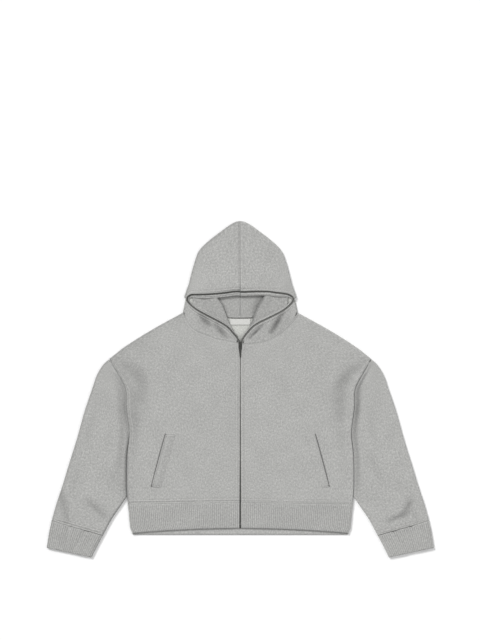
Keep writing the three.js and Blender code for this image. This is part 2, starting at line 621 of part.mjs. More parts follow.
function liningEdge(side) {
  const line = zipLine(side);
  const from = 0.05;
  const face = (u, v) => {
    const share = lerp(from, 1, v);
    const taper = smoothstep(share, from - 0.02, 0.25) * (1 - 0.75 * hump(share - ZIP_CORNER, 0.09));
    const width = Math.max(1.6, LINING_EDGE.width * taper);
    const point = line(share, -(LINING_EDGE.inset + u * width));
    return point.setZ(point.z + 0.5);
  };
  const rows = Array.from({ length: 31 }, (_, place) => (place / 30) * 0.9995);
  const wall = LINING_EDGE.thickness;
  return cloth({ face, columns: [0, 0.3, 0.75, 1], rows, wall, innerLow: CLOTH + SEAM });
}

function lining(side) {
  return joined(liningFloor(), liningFlap(), liningEdge(side));
}

function neckTape() {
  const face = (u, v) => {
    const out = u * NECK_TAPE.half;
    const up = columnAt(BACK_NECK, 'out', 'up', Math.abs(out)) + SEAM + lerp(NECK_TAPE.height, 0, v);
    return plan(out, up, 2 * CLOTH + 2 * SEAM + NECK_TAPE.thickness);
  };
  return cloth({ face, columns: [-1, -0.5, 0, 0.5, 1], rows: [0, 1], wall: NECK_TAPE.thickness });
}

function neckLabel() {
  const { width, height, top, thickness } = LABEL;
  return box(top - height / 2, CLOTH + SEAM + thickness / 2, width, height, thickness);
}

// The slider: two plates with the tapes between them, a post where the tapes part, and a bridge on top.
function plateShape() {
  const { half, foot, length, waist, shoulder } = SLIDER;
  const right = [[foot, -length / 2], [half, shoulder], [half - waist, length / 2]];
  const left = right.map(([x, y]) => [-x, y]).reverse();
  return new THREE.Shape([...right, ...left].map(([x, y]) => new THREE.Vector2(x, y)));
}
const slab = (shape, depth) => merged(new THREE.ExtrudeGeometry(shape, { depth, bevelEnabled: false }));
const box = (up, middle, width, length, height) =>
  merged(new THREE.BoxGeometry(width, length, height).translate(0, up, middle));
const plateTop = SLIDER.low + 2 * SLIDER.plate + TAPE.thickness + 2 * SLIDER.gap;
const pinHeight = plateTop + SEAM + PULL.bar;
const bridgeLow = pinHeight + PULL.bar + SEAM;

function slider() {
  const { up, low, plate, post } = SLIDER;
  const lower = slab(plateShape(), plate).translate(0, up, low);
  const upper = slab(plateShape(), plate).translate(0, up, plateTop - plate);
  const postHeight = plateTop - low - plate / 2;
  const between = box(up + post.up, (low + plateTop) / 2, post.width, post.length, postHeight);
  const width = 2 * BRIDGE.half;
  const deck = box(up, bridgeLow + BRIDGE.thickness / 2, width, BRIDGE.length, BRIDGE.thickness);
  const legHeight = bridgeLow - plateTop + BRIDGE.thickness;
  const legMiddle = (bridgeLow + plateTop) / 2;
  const reach = (BRIDGE.length - BRIDGE.thickness) / 2;
  const leg = (end) => box(up + end * reach, legMiddle, width, BRIDGE.thickness, legHeight);
  return joined(lower, upper, between, deck, leg(-1), leg(1));
}

// The pull: a narrow tab with a slot, whose bar passes under the slider's bridge.
function pullTab() {
  const { half, tip, length, corner, thickness, bar } = PULL;
  const taper = -PULL_SLOT.length - PULL_SLOT.wall;
  const right = [[half, bar], [half, taper], [tip, corner - length], [tip - corner, -length]];
  const left = right.map(([x, y]) => [-x, y]).reverse();
  const points = (list) => list.map(([x, y]) => new THREE.Vector2(x, y));
  const shape = new THREE.Shape(points([...right, ...left]).reverse());
  const slotTop = bar - 0.05;
  const slot = [[-1, slotTop], [1, slotTop], [1, -PULL_SLOT.length], [-1, -PULL_SLOT.length]];
  shape.holes.push(new THREE.Path(points(slot.map(([x, y]) => [x * PULL_SLOT.half, y]))));
  const tab = slab(shape, thickness).translate(0, 0, -thickness / 2);
  const pin = new THREE.CylinderGeometry(bar, bar, PULL_SLOT.half + half, 12).rotateZ(Math.PI / 2);
  return joined(tab, merged(pin)).translate(0, SLIDER.up, pinHeight);
}

const zipStop = () => box(HEM_FRONT.middle + STOP.length / 2, STOP.low + STOP.thickness / 2,
  2 * STOP.half, STOP.length, STOP.thickness);

// Materials
const material = (color, roughness, metalness = 0) =>
  new THREE.MeshStandardMaterial({ color, roughness, metalness });
const marl = material('#b1b1af', 0.95);
const ribKnit = material('#a9a9a7', 0.95);
const tapeGrey = material('#6f6f6d', 0.8);
const darkMetal = material('#3f3f3e', 0.4, 0.9);
const labelWhite = material('#dededb', 0.8);

// The garment
const garment = new THREE.Group();
function place(name, geometry, finish) {
  const mesh = new THREE.Mesh(geometry, finish.clone());
  mesh.name = name;
  garment.add(mesh);
}

place('back_panel', back(), marl);
place('hem_band', hemBand(), ribKnit);
for (const side of ['left', 'right']) {
  const onSide = (geometry) => (side === 'left' ? mirrored(geometry) : geometry);
  place(`front_${side}`, onSide(front(side)), marl);
  place(`sleeve_${side}`, onSide(sleeve(side)), marl);
  place(`cuff_${side}`, onSide(cuff()), ribKnit);
  place(`pocket_welt_${side}`, onSide(welt(side)), marl);
  place(`hood_${side}`, onSide(joined(hoodTop(side), collar(side))), marl);
  place(`hood_lining_${side}`, onSide(lining(side)), marl);
  place(`zip_tape_${side}`, onSide(zipTape(side)), tapeGrey);
}
place('neck_tape', neckTape(), marl);
place('neck_label', neckLabel(), labelWhite);
place('zip_slider', slider(), darkMetal);
place('zip_pull', pullTab(), darkMetal);
place('zip_stop', zipStop(), darkMetal);

export default garment;
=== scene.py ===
"""A light grey marl zip-up hooded sweatshirt laid flat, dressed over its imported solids.

Half of it is described from the middle line outwards, in millimetres: "out" is the distance from the
middle line, "up" the distance towards the hood. "left" is the side at the viewer's left.
"""

import math

import bmesh
import bpy
import numpy as np
from bpy.props import FloatProperty, IntProperty, PointerProperty
from mathutils import Matrix, Vector


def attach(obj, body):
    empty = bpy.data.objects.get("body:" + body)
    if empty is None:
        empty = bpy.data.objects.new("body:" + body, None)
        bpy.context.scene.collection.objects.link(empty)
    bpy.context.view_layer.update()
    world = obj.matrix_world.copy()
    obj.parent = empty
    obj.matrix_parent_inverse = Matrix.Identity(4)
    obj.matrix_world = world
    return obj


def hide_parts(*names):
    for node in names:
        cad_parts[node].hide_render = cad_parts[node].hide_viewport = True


bl_info = {
    "name": "Zip-up sweatshirt laid flat",
    "version": (1, 0, 0),
    "blender": (4, 5, 0),
    "location": "3D View > Sidebar > Sweatshirt",
    "description": "Builds the cloth, sewing and zip of a hooded sweatshirt over its packed solids",
    "category": "Add Mesh",
}

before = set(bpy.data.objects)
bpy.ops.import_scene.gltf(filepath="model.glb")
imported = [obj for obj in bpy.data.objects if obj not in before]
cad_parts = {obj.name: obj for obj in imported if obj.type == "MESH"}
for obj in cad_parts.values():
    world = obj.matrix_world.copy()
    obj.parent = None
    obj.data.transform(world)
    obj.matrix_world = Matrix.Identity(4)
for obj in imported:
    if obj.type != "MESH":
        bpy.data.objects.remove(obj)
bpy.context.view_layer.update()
GARMENT = "garment"
SIDES = {"left": -1, "right": 1}
MM = 0.001

# Sizes of the solids, in millimetres
CLOTH = 2.2
RIB = 2.4
RIB_RAISE = 0.9
SEAM = 0.3
ROLL = 4.2
CHEST_TOP = 7.4
CLOTH_ZIP = 34
SLEEVE_CROWN = 9.6
HEM_FRONT = {"middle": -361, "drop": 13}
HEM_BACK = -378
HEM_SEAM = {"middle": -293.5, "side": -298.5, "half": 292.5}
EDGE_SHELL = 2
SHELL_CLEAR = 0.9
LINING_EDGE = {"inset": 2.6, "width": 7.6, "thickness": 4}
WELT = {"width": 25, "thickness": 2}
NECK_TAPE = {"half": 31, "height": 5, "thickness": 0.8}
LABEL = {"width": 53, "height": 16, "top": 183, "thickness": 0.8}
TAPE = {"body": 9, "hood": 3.2, "teeth": 1.5, "thickness": 1}
FLAP = {"fold": 9.7, "foldLow": 7.6, "top": 7.2, "sink": 4.8, "reach": 30, "under": 12}
SLIT = {"depth": 3.2, "away": 12, "spread": 8, "lip": 0.7}
SHOULDER_SHARE = 0.37
UNDERARM_SHARE = 0.776
SLEEVE_BODY = {"from": 0.382, "to": 0.97, "share": 0.75}
EDGE_EASE = 0.022
SLEEVE_EASE = 0.03
ZIP_CORNER = 0.545
ZIP_BODY_SHARE = 0.58

# Places of the topstitching, in millimetres from the edge or seam beside it
DOUBLE_ROW = (3, 9)
ZIP_ROW = 8.6
LIP_ROW = 6.5
NECK_ROW = 4
ARMHOLE_ROW = 5
WELT_ROW = 4
SLEEVE_LENGTH = 470
WELT_LENGTH = 143
HEM_LENGTH = 70
CUFF_LENGTH = 73

# What the picture shows: its height in millimetres, and its middle in metres
PICTURE_HEIGHT = 1664
PICTURE_MIDDLE = (-0.0008, 0.18)


def table(columns, *rows):
    """Named columns, each an array down the rows."""
    return {name: np.array(column, float) for name, column in zip(columns.split(), zip(*rows))}


SHOULDER = table("out up", (149.5, 199), (235, 151.5), (302, 109), (324, 92), (340, 79))
BODY_SIDE = table(
    "out up",
    (340, 79), (328, 58), (316, 38), (306, 20), (299, 5), (296, -12), (296, -40), (293, -68),
    (289, -100), (288.5, -127), (291, -150), (294, -180), (295, -249), (292.5, -298.5),
)
SLEEVE_OUTER = table(
    "out up",
    (341.6, 77.4), (356, 64), (373, 36), (384, 4), (404, -55), (425, -130), (445, -194),
    (463, -253), (478, -298), (490, -341),
)
SLEEVE_INNER = table("out up", (295.9, -281), (314, -308), (332, -334), (357, -380))
CUFF_OUTER = table("out up", (490.2, -341.4), (496, -368), (503, -411.5))
CUFF_INNER = table("out up", (357.2, -380.4), (371, -406), (386, -436.5))
BAND_SIDE = table("share half", (0, 292.5), (0.35, 289.5), (0.75, 287), (1, 281))
BACK_NECK = table("out up", (0, 185), (60, 187), (110, 192), (149.5, 199))
FRONT_NECK = table(
    "out left right",
    (4.8, 121, 119), (14, 123, 119.5), (37, 128, 121.5), (62, 132.5, 125.5), (84, 141, 134.5),
    (112, 152, 152.5), (131, 168, 173.5), (149.5, 198, 197),
)
HOOD_OUTLINE = table(
    "out up",
    (146, 239), (140, 257), (134, 274), (127, 302), (119, 330), (110, 355), (99, 370), (78, 389),
    (52, 409), (27, 427), (12, 435), (0, 437.5),
)
ZIP_EDGE = table(
    "up half top",
    (-361, 2.4, 6.5), (-293, 2.1, 6.6), (-150, 1.3, 6.6), (40, 0.8, 6.6), (78, 0.9, 6.6),
    (90, 1.9, 6.7), (98, 3, 7), (108, 4.7, 8), (121, 4.8, 8.2),
)
ZIP_BODY = table(
    "out up top",
    (0.3, -350, 3.9), (0.3, -293, 3.9), (0.3, -150, 3.9), (0.3, 0, 3.9), (0.3, 78, 3.9),
    (0.4, 98, 4.3), (0.8, 109, 5.2), (1.7, 117, 5.2),
)
ZIP_HOOD = table(
    "out left right top",
    (3.4, 125, 124.5, 5.2), (9, 134, 134, 6.4), (19.5, 146.5, 147.5, 8.6),
    (32.5, 160.5, 161.5, 10.4), (48, 171, 172, 11.6), (70, 182.7, 182.7, 12.6),
    (91, 193.7, 193, 12.6), (112, 205.5, 204.5, 9.6), (129, 219, 218.5, 5.6),
    (137, 229, 228.5, 5.1), (137.5, 238.5, 237, 5.1), (129, 245, 244.5, 6),
    (114, 246, 248.5, 9.4), (98, 246.3, 250.5, 11.8), (72, 247.5, 253.6, 12.3),
    (40, 250.5, 254, 12.3), (14, 254, 253, 12.3), (0.3, 254, 253, 12.3),
)
FOLD = table(
    "out up flapOut flapUp",
    (64, 262, 116, 266), (63.5, 243, 123, 240), (47, 215, 118, 212), (41, 200, 91, 189),
    (35, 184, 62, 174), (26.5, 165, 31.5, 164.5), (20, 154.5, 24, 155.5),
)
POCKET = table("out up", (193.5, -115), (231, -254))
EDGE_TOP = table(
    "share height",
    (0, 8.4), (0.37, 8.4), (0.405, 11), (0.44, 14), (0.56, 14), (0.66, 12.5), (0.76, 10.4),
    (0.84, 9), (1, 8.4),
)

# A crease is a line in the plan that lifts the cloth by "lift", or lowers it, fading over "spread".
CREASE = "out up toOut toUp lift spread"
FRONT_CREASES = {
    "left": table(
        CREASE,
        (324, 74, 290, 54, -1.8, 13), (290, 54, 250, 20, -3.2, 18), (256, 14, 264, -70, -2.6, 19),
        (266, -70, 272, -130, -1.2, 16), (170, 110, 215, 40, 1.2, 26),
        (268, 118, 246, 92, -0.5, 9), (236, 30, 222, -40, 0.5, 12), (120, 60, 150, -20, 0.5, 16),
        (96, -60, 120, -150, -0.5, 15), (250, -160, 268, -230, 0.6, 13),
        (60, 96, 72, 40, -0.4, 10), (150, -190, 120, -262, 0.5, 14), (206, 96, 232, 52, -0.4, 9),
        (270, -20, 250, -92, 0.6, 12), (44, -180, 62, -250, 0.4, 12),
    ),
    "right": table(
        CREASE,
        (334, 66, 290, 46, -2, 13), (290, 46, 262, 10, -3.2, 16), (262, 10, 256, -70, -2.8, 19),
        (256, -70, 262, -140, -1.3, 15), (150, 90, 200, 10, 1.2, 26),
        (288, 92, 262, 74, -0.5, 8), (232, 20, 214, -52, 0.5, 12), (108, 30, 132, -40, -0.5, 14),
        (86, -90, 108, -170, 0.5, 15), (258, -150, 272, -214, -0.6, 12),
        (54, 84, 70, 22, 0.4, 11), (160, -200, 138, -262, 0.5, 13), (196, 110, 226, 70, 0.4, 9),
        (244, -64, 262, -112, 0.5, 11), (52, -196, 66, -256, -0.4, 12),
    ),
}
SLEEVE_CREASES = {
    "left": table(
        CREASE,
        (464, -270, 446, -346, -2.8, 9), (396, -292, 354, -328, -3, 9),
        (404, -290, 384, -345, 1.4, 10), (330, -60, 350, -150, 0.6, 12),
        (372, -40, 396, -130, -0.7, 11), (352, -190, 390, -262, 0.7, 12),
        (318, -190, 334, -262, -0.7, 9), (420, -214, 438, -272, -0.6, 9),
        (392, -300, 404, -350, -0.9, 6), (430, -318, 440, -350, 0.8, 7),
    ),
    "right": table(
        CREASE,
        (424, -328, 442, -290, -2.6, 9), (386, -342, 436, -322, -2.8, 7),
        (385, -270, 420, -300, 1.4, 12), (336, -70, 354, -150, -0.6, 11),
        (368, -30, 390, -110, 0.7, 12), (340, -176, 372, -250, -0.7, 11),
        (322, -204, 344, -272, 0.7, 10), (418, -200, 440, -262, 0.6, 10),
        (440, -300, 462, -346, -0.9, 7), (366, -330, 384, -366, 0.8, 7),
    ),
}
COLLAR_CREASES = {
    "left": table(
        CREASE,
        (106, 192, 80, 166, -4, 7), (62, 164, 36, 134, -3.6, 6), (120, 196, 104, 172, 1, 6),
        (80, 160, 66, 146, 0.6, 6), (42, 146, 26, 130, 0.5, 5),
    ),
    "right": table(
        CREASE,
        (110, 200, 82, 148, -4, 8), (56, 165, 26, 134, -3, 5), (96, 190, 76, 160, 1, 6),
        (126, 200, 112, 178, 0.7, 6), (46, 142, 30, 128, 0.5, 5),
    ),
}
HOOD_CREASES = {
    "left": table(
        CREASE,
        (98, 340, 72, 296, -0.8, 10), (60, 394, 44, 340, -0.6, 11), (118, 300, 100, 270, -0.7, 8),
        (34, 330, 22, 280, 0.5, 10), (84, 290, 66, 262, 0.6, 9),
    ),
    "right": table(
        CREASE,
        (92, 352, 64, 318, -0.7, 11), (112, 310, 92, 276, -0.8, 9), (44, 404, 30, 356, -0.6, 10),
        (52, 310, 40, 268, 0.5, 10), (122, 284, 108, 262, 0.6, 7),
    ),
}
FLAP_CREASES = {
    "left": table(CREASE, (98, 240, 84, 206, -0.7, 6), (74, 236, 66, 214, 0.5, 6)),
    "right": table(CREASE, (104, 236, 88, 204, -0.7, 6), (78, 246, 70, 216, 0.5, 6)),
}


class SweatshirtSizes(bpy.types.PropertyGroup):
    """The sizes, the light's strength and the curves' sampling that a user would change."""

    rib_pitch: FloatProperty(
        name="Rib pitch", description="From one knitted rib to the next", default=0.005,
        min=0.003, max=0.008, unit="LENGTH",
    )
    mesh_step: FloatProperty(
        name="Mesh step", description="Spacing of the cloth's mesh", default=0.003,
        min=0.002, max=0.01, unit="LENGTH",
    )
    stitch_length: FloatProperty(
        name="Stitch length", description="Length of one stitch of the topstitching",
        default=0.0028, min=0.001, max=0.006, unit="LENGTH",
    )
    stitch_pitch: FloatProperty(
        name="Stitch pitch", description="From one stitch to the next", default=0.0036,
        min=0.0015, max=0.008, unit="LENGTH",
    )
    tooth_pitch: FloatProperty(
        name="Tooth pitch", description="From one zip tooth to the next", default=0.0026,
        min=0.0015, max=0.004, unit="LENGTH",
    )
    groove: FloatProperty(
        name="Stitch groove", description="How far topstitching pulls the cloth down",
        default=0.0005, min=0, max=0.002, unit="LENGTH",
    )
    light: FloatProperty(
        name="Light", description="Strength of the soft studio light", default=1.0, min=0.1,
        max=4, subtype="FACTOR",
    )
    samples_of_curves: IntProperty(
        name="Curve samples", description="How finely outlines are followed", default=900,
        min=200, max=4000,
    )


def sizes():
    """The sizes set in the sidebar, in metres."""
    return bpy.context.scene.sweatshirt


# Curves and surfaces, worked out for many points at once


def smooth(value, low, high):
    """Eases from 0 at the low value to 1 at the high one."""
    share = np.clip((np.asarray(value, float) - low) / (high - low), 0, 1)
    return share * share * (3 - 2 * share)


def mix(a, b, share):
    """The value a share of the way from one to the other."""
    return a + (b - a) * share


def hump(away, spread):
    """A rounded hump, 1 high, that fades over the spread."""
    return np.exp(-((np.asarray(away) / spread) ** 2))


def plan(out, up, height=0.0):
    """Points from their places in the plan and their heights."""
    out, up, height = np.broadcast_arrays(*(np.asarray(x, float) for x in (out, up, height)))
    return np.stack([out, up, height], -1)


def unit(vectors):
    return vectors / np.maximum(np.linalg.norm(vectors, axis=-1, keepdims=True), 1e-12)


def column_at(rows, key, value, at):
    """The value of one column where another has the value "at", eased between its rows."""
    keys, values = rows[key], rows[value]
    after = np.clip(np.searchsorted(keys, at, side="left"), 1, len(keys) - 1)
    return mix(values[after - 1], values[after], smooth(at, keys[after - 1], keys[after]))


CURVES = {}


def curve_through(points):
    """A smooth curve through points, as a function of the share of its length."""
    key = np.asarray(points, float).tobytes()
    if key not in CURVES:
        CURVES[key] = measured_curve(points)
    return CURVES[key]


def measured_curve(points):
    knots = np.asarray(points, float)
    ends = np.vstack([2 * knots[0] - knots[1], knots, 2 * knots[-1] - knots[-2]])
    a, b, c, d = (ends[i : len(knots) - 1 + i] for i in range(4))
    gap = [np.maximum(np.linalg.norm(q - p, axis=1), 1e-8)[:, None] ** 0.5
           for p, q in ((a, b), (b, c), (c, d))]
    leave = (b - a) / gap[0] - (c - a) / (gap[0] + gap[1]) + (c - b) / gap[1]
    arrive = (c - b) / gap[1] - (d - b) / (gap[1] + gap[2]) + (d - c) / gap[2]
    leave, arrive = leave * gap[1], arrive * gap[1]
    count = max(8, sizes().samples_of_curves // len(b))
    s = np.linspace(0, 1, count, endpoint=False)[None, :, None]
    b, c, leave, arrive = (x[:, None, :] for x in (b, c, leave, arrive))
    spans = b + leave * s + (3 * (c - b) - 2 * leave - arrive) * s**2
    spans = spans + (2 * (b - c) + leave + arrive) * s**3
    line = np.vstack([spans.reshape(-1, 3), knots[-1:]])
    reach = np.concatenate([[0], np.cumsum(np.linalg.norm(np.diff(line, axis=0), axis=1))])

    def at(share):
        along = np.clip(np.asarray(share, float), 0, 1) * reach[-1]
        return np.stack([np.interp(along, reach, line[:, axis]) for axis in range(3)], -1)

    return at


def curve_of(rows, up="up"):
    return curve_through(plan(rows["out"], rows[up]))


def right_of(curve, share, step=0.004):
    """The direction square to a plan curve, on its right-hand side as the share grows."""
    share = np.asarray(share, float)
    along = curve(np.minimum(share + step, 1)) - curve(np.maximum(share - step, 0))
    return unit(plan(along[..., 1], -along[..., 0]))


def patch(inner, outer, top, bottom):
    """A four-sided patch between curves that meet at its corners."""
    zero, one = np.zeros(1), np.ones(1)
    first, second, third, fourth = inner(zero), outer(zero), inner(one), outer(one)

    def at(s, t):
        a, b = s[..., None], t[..., None]
        point = inner(t) * (1 - a) + outer(t) * a + top(s) * (1 - b) + bottom(s) * b
        point = point - first * (1 - a) * (1 - b) - second * a * (1 - b)
        return point - third * (1 - a) * b - fourth * a * b

    return at


def creases_lift(creases, out, up):
    """How far a piece's creases lift it at places in the plan. Each fades towards its two ends."""
    lift = np.zeros_like(out)
    for i in range(len(creases["out"])):
        start = np.array([creases["out"][i], creases["up"][i]])
        along = np.array([creases["toOut"][i], creases["toUp"][i]]) - start
        away = np.stack([out, up], -1) - start
        share = np.clip(away @ along / (along @ along), 0, 1)
        distance = np.linalg.norm(away - share[..., None] * along, axis=-1)
        fade = 1 - 0.45 * np.abs(2 * share - 1)
        lift = lift + creases["lift"][i] * fade * hump(distance, creases["spread"][i])
    return lift


def groove(away, width=1.6):
    """How far a row of topstitching lowers the cloth at a distance from it."""
    return -sizes().groove / MM * hump(away, width)


def double_row(away):
    """The same for two rows beside a rib, with the seam's allowance standing up between them."""
    near, far = DOUBLE_ROW
    return groove(away - near, 1.3) + groove(away - far, 1.3) + 0.7 * hump(away - (near + far) / 2, 2)


# The body's outer edge runs down the shoulder, round its point, and down the armhole and the side.
def body_edge(t):
    t = np.asarray(t, float)
    shoulder = curve_of(SHOULDER)(t / SHOULDER_SHARE)
    side = curve_of(BODY_SIDE)((t - SHOULDER_SHARE) / (1 - SHOULDER_SHARE))
    return np.where((t < SHOULDER_SHARE)[..., None], shoulder, side)


def edge_inward(t):
    return right_of(body_edge, t, EDGE_EASE)


def inset_edge(t):
    return body_edge(t) + ROLL * edge_inward(t)


def edge_top(t):
    return column_at(EDGE_TOP, "share", "height", t)


def edge_drop(t):
    """How far the front rolls down at its edge: wholly, or only onto the sleeve it is sewn to."""
    sewn = smooth(t, 0.372, 0.4) * (1 - smooth(t, 0.76, 0.84))
    sleeve = 2 * ROLL + SLIT["lip"] + np.maximum(0, edge_top(t) + 0.5 - 3 * ROLL)
    return mix(ROLL, np.clip(edge_top(t) - sleeve - 0.3, 0.8, ROLL), sewn)


def hem_seam_up(out):
    return mix(HEM_SEAM["middle"], HEM_SEAM["side"], np.asarray(out) / HEM_SEAM["half"])


def front_top(side, out, up):
    """The front's face away from its outer edge."""
    zip_top = column_at(ZIP_EDGE, "up", "top", up)
    return mix(zip_top, CHEST_TOP, smooth(out, 3, CLOTH_ZIP)) + creases_lift(
        FRONT_CREASES[side], out, up
    )


def edge_rise(away, rise):
    """How far the cloth rises towards a thicker edge, at a distance from it."""
    return rise * (1 - smooth(away, 0, 16 + 2.2 * rise))


def front_neck(side):
    """The neck seam of a front, eased to meet the shoulder's edge."""
    neck = curve_of(FRONT_NECK, side)
    end = inset_edge(np.zeros(1)) - neck(np.ones(1))
    return lambda s: neck(s) + end * smooth(s, 0.8, 1)[..., None]


def front_face(side):
    """A front: 0 to 1 from the zip to the edge and 1 to 2 round it, and 0 to 1 from neck to hem."""
    top = front_neck(side)
    start = float(top(np.zeros(1))[0, 1])

    def zip_edge(t):
        up = mix(start, float(hem_seam_up(0)), np.asarray(t, float))
        return plan(column_at(ZIP_EDGE, "up", "half", up), up)

    low = (float(zip_edge(np.ones(1))[0, 0]), float(inset_edge(np.ones(1))[0, 0]))

    def bottom(s):
        out = mix(*low, np.asarray(s, float))
        return plan(out, hem_seam_up(out))

    flat = patch(zip_edge, inset_edge, top, bottom)

    def face(s, t):
        turn = (2 - np.maximum(s, 1)) * math.pi / 2
        rolled = body_edge(t) + (edge_inward(t).T * ROLL * (1 - np.cos(turn))).T
        rolled[..., 2] = edge_top(t) - edge_drop(t) * (1 - np.sin(turn))
        point = flat(np.minimum(s, 1), t)
        away = np.linalg.norm((point - inset_edge(t))[..., :2], axis=-1)
        out, up = point[..., 0], point[..., 1]
        creases = (front_top(side, out, up) - CHEST_TOP) * smooth(away, 0, 14)
        beside_zip = out - zip_edge(t)[..., 0]
        over_hem = up - hem_seam_up(out)
        under_neck = np.linalg.norm((point - top(np.minimum(s, 1)))[..., :2], axis=-1)
        sewn = groove(beside_zip - ZIP_ROW) + 0.5 * hump(beside_zip - 4.5, 3.5)
        sewn = sewn + double_row(over_hem)
        sewn = sewn + groove(under_neck - NECK_ROW) + 0.4 * hump(under_neck, 2)
        armhole = smooth(t, 0.372, 0.39) * (1 - smooth(t, 0.74, 0.79))
        sewn = sewn + armhole * groove(away - ARMHOLE_ROW, 1.8)
        point[..., 2] = CHEST_TOP + creases + edge_rise(away, edge_top(t) - CHEST_TOP) + sewn
        return np.where((s > 1)[..., None], rolled, point)

    return face


def back_face(u, t):
    """The back, flat on the floor, from one edge to the other. Its edges roll up to the fronts."""
    s = np.abs(u)
    armhole = smooth(t, 0.358, 0.384) * (1 - smooth(t, 0.755, 0.79))
    neck = curve_of(BACK_NECK)
    neck_end = inset_edge(np.zeros(1)) - neck(np.ones(1))
    side_out = float(inset_edge(np.ones(1))[0, 0])

    def middle(share):
        return plan(0, mix(BACK_NECK["up"][0], float(hem_seam_up(0)), np.asarray(share, float)))

    def top(share):
        return neck(share) + neck_end * smooth(share, 0.8, 1)[..., None]

    def bottom(share):
        return plan(share * side_out, hem_seam_up(share * side_out))

    turn = (2 - np.maximum(s, 1)) * math.pi / 2
    rolled = body_edge(t) + (edge_inward(t).T * ROLL * (1 - np.cos(turn))).T
    rim = (edge_top(t) - ROLL - SEAM) * (1 - armhole)
    rolled[..., 2] = rim * (1 - np.sin(turn))
    flat = patch(middle, inset_edge, top, bottom)(np.minimum(s, 1), t)
    point = np.where((s > 1)[..., None], rolled, flat)
    point[..., 0] *= np.sign(u)
    return point


# A sleeve is a tube: cut open along the armhole, closed below the underarm.
def sleeve_share(body_share):
    return SLEEVE_BODY["share"] * (body_share - SLEEVE_BODY["from"]) / (
        SLEEVE_BODY["to"] - SLEEVE_BODY["from"]
    )


def sleeve_line(t):
    t = np.asarray(t, float)
    lower = curve_of(SLEEVE_INNER)((t - SLEEVE_BODY["share"]) / (1 - SLEEVE_BODY["share"]))
    share = mix(SLEEVE_BODY["from"], SLEEVE_BODY["to"], np.maximum(t, 0) / SLEEVE_BODY["share"])
    upper = body_edge(share) - 0.45 * edge_inward(share)
    return np.where((t >= SLEEVE_BODY["share"])[..., None], lower, upper)


UNDERARM = sleeve_share(UNDERARM_SHARE)


def sleeve_face(side):
    """A sleeve: 0 to 1 over its top, to 3 round the outer fold, to 4 beneath, and on to the seam."""
    outer = curve_of(SLEEVE_OUTER)

    def face(u, t):
        outer_in = right_of(outer, t)
        inner_in = -right_of(sleeve_line, t, SLEEVE_EASE)
        shut = smooth(t, UNDERARM - 0.12, UNDERARM)
        reach = np.linalg.norm(outer(t) - sleeve_line(t), axis=-1)
        reach = np.minimum(ROLL, 0.35 * reach)[..., None]
        start = sleeve_line(t) + inner_in * reach
        end = outer(t) + outer_in * reach
        across = np.clip(np.where(u <= 3, u, 4 - u), 0, 1)
        point = mix(start, end, across[..., None])
        away = np.linalg.norm(point - start, axis=-1) + ROLL
        width = np.linalg.norm(end - start, axis=-1)
        crown = (SLEEVE_CROWN - 2 * ROLL) * np.sin(math.pi * across) * smooth(width, 5, 60)
        slit = (1 - smooth(t, UNDERARM, UNDERARM + 0.25)) * smooth(width, 5, 50)
        dip = slit * SLIT["depth"] * hump(away - SLIT["away"], SLIT["spread"]) * (1 - hump(away, 7))
        lip = (1 - shut) * SLIT["lip"] * hump(away, 6)
        inside = smooth(across, 0, 0.1) * smooth(1 - across, 0, 0.1)
        creases = inside * creases_lift(SLEEVE_CREASES[side], point[..., 0], point[..., 1])
        ridge = edge_top(mix(SLEEVE_BODY["from"], SLEEVE_BODY["to"], t / SLEEVE_BODY["share"]))
        rise = (1 - shut) * np.maximum(0, ridge + 0.5 - 3 * ROLL) * hump(away - ROLL, 9)
        over_cuff = (1 - t) * SLEEVE_LENGTH
        top = 2 * ROLL + crown - dip + lip + rise + creases + double_row(over_cuff) * inside

        turn = (2 - np.clip(u, 1, 3)) * math.pi / 2
        outer_turn = point - outer_in * reach * np.cos(turn)[..., None]
        outer_turn[..., 2] = ROLL + ROLL * np.sin(turn)

        before, beyond = np.maximum(-u, 0), np.maximum(u - 4, 0)
        turn = np.where(u < 0, 1 + u, u - 5) * math.pi / 2
        bend = mix(np.where(u < 0, before, beyond), np.cos(turn), shut)
        inner_turn = point - inner_in * reach * bend[..., None]
        height = np.where(u < 0, top, 0)
        round_height = np.where(u < 0, top - ROLL, ROLL) + ROLL * np.sin(turn)
        inner_turn[..., 2] = mix(height, round_height, shut)

        point[..., 2] = np.where(u <= 1, top, 0)
        point = np.where(((u > 1) & (u < 3))[..., None], outer_turn, point)
        return np.where(((u < 0) | (u > 4))[..., None], inner_turn, point)

    return face


def rib_wave(share, length):
    """The height of knitted ribs along a length: rounded wales with narrow gaps between them."""
    waves = round(length / (sizes().rib_pitch / MM))
    phase = np.abs(np.sin(math.pi * np.asarray(share) * waves))
    return RIB_RAISE * phase**0.7


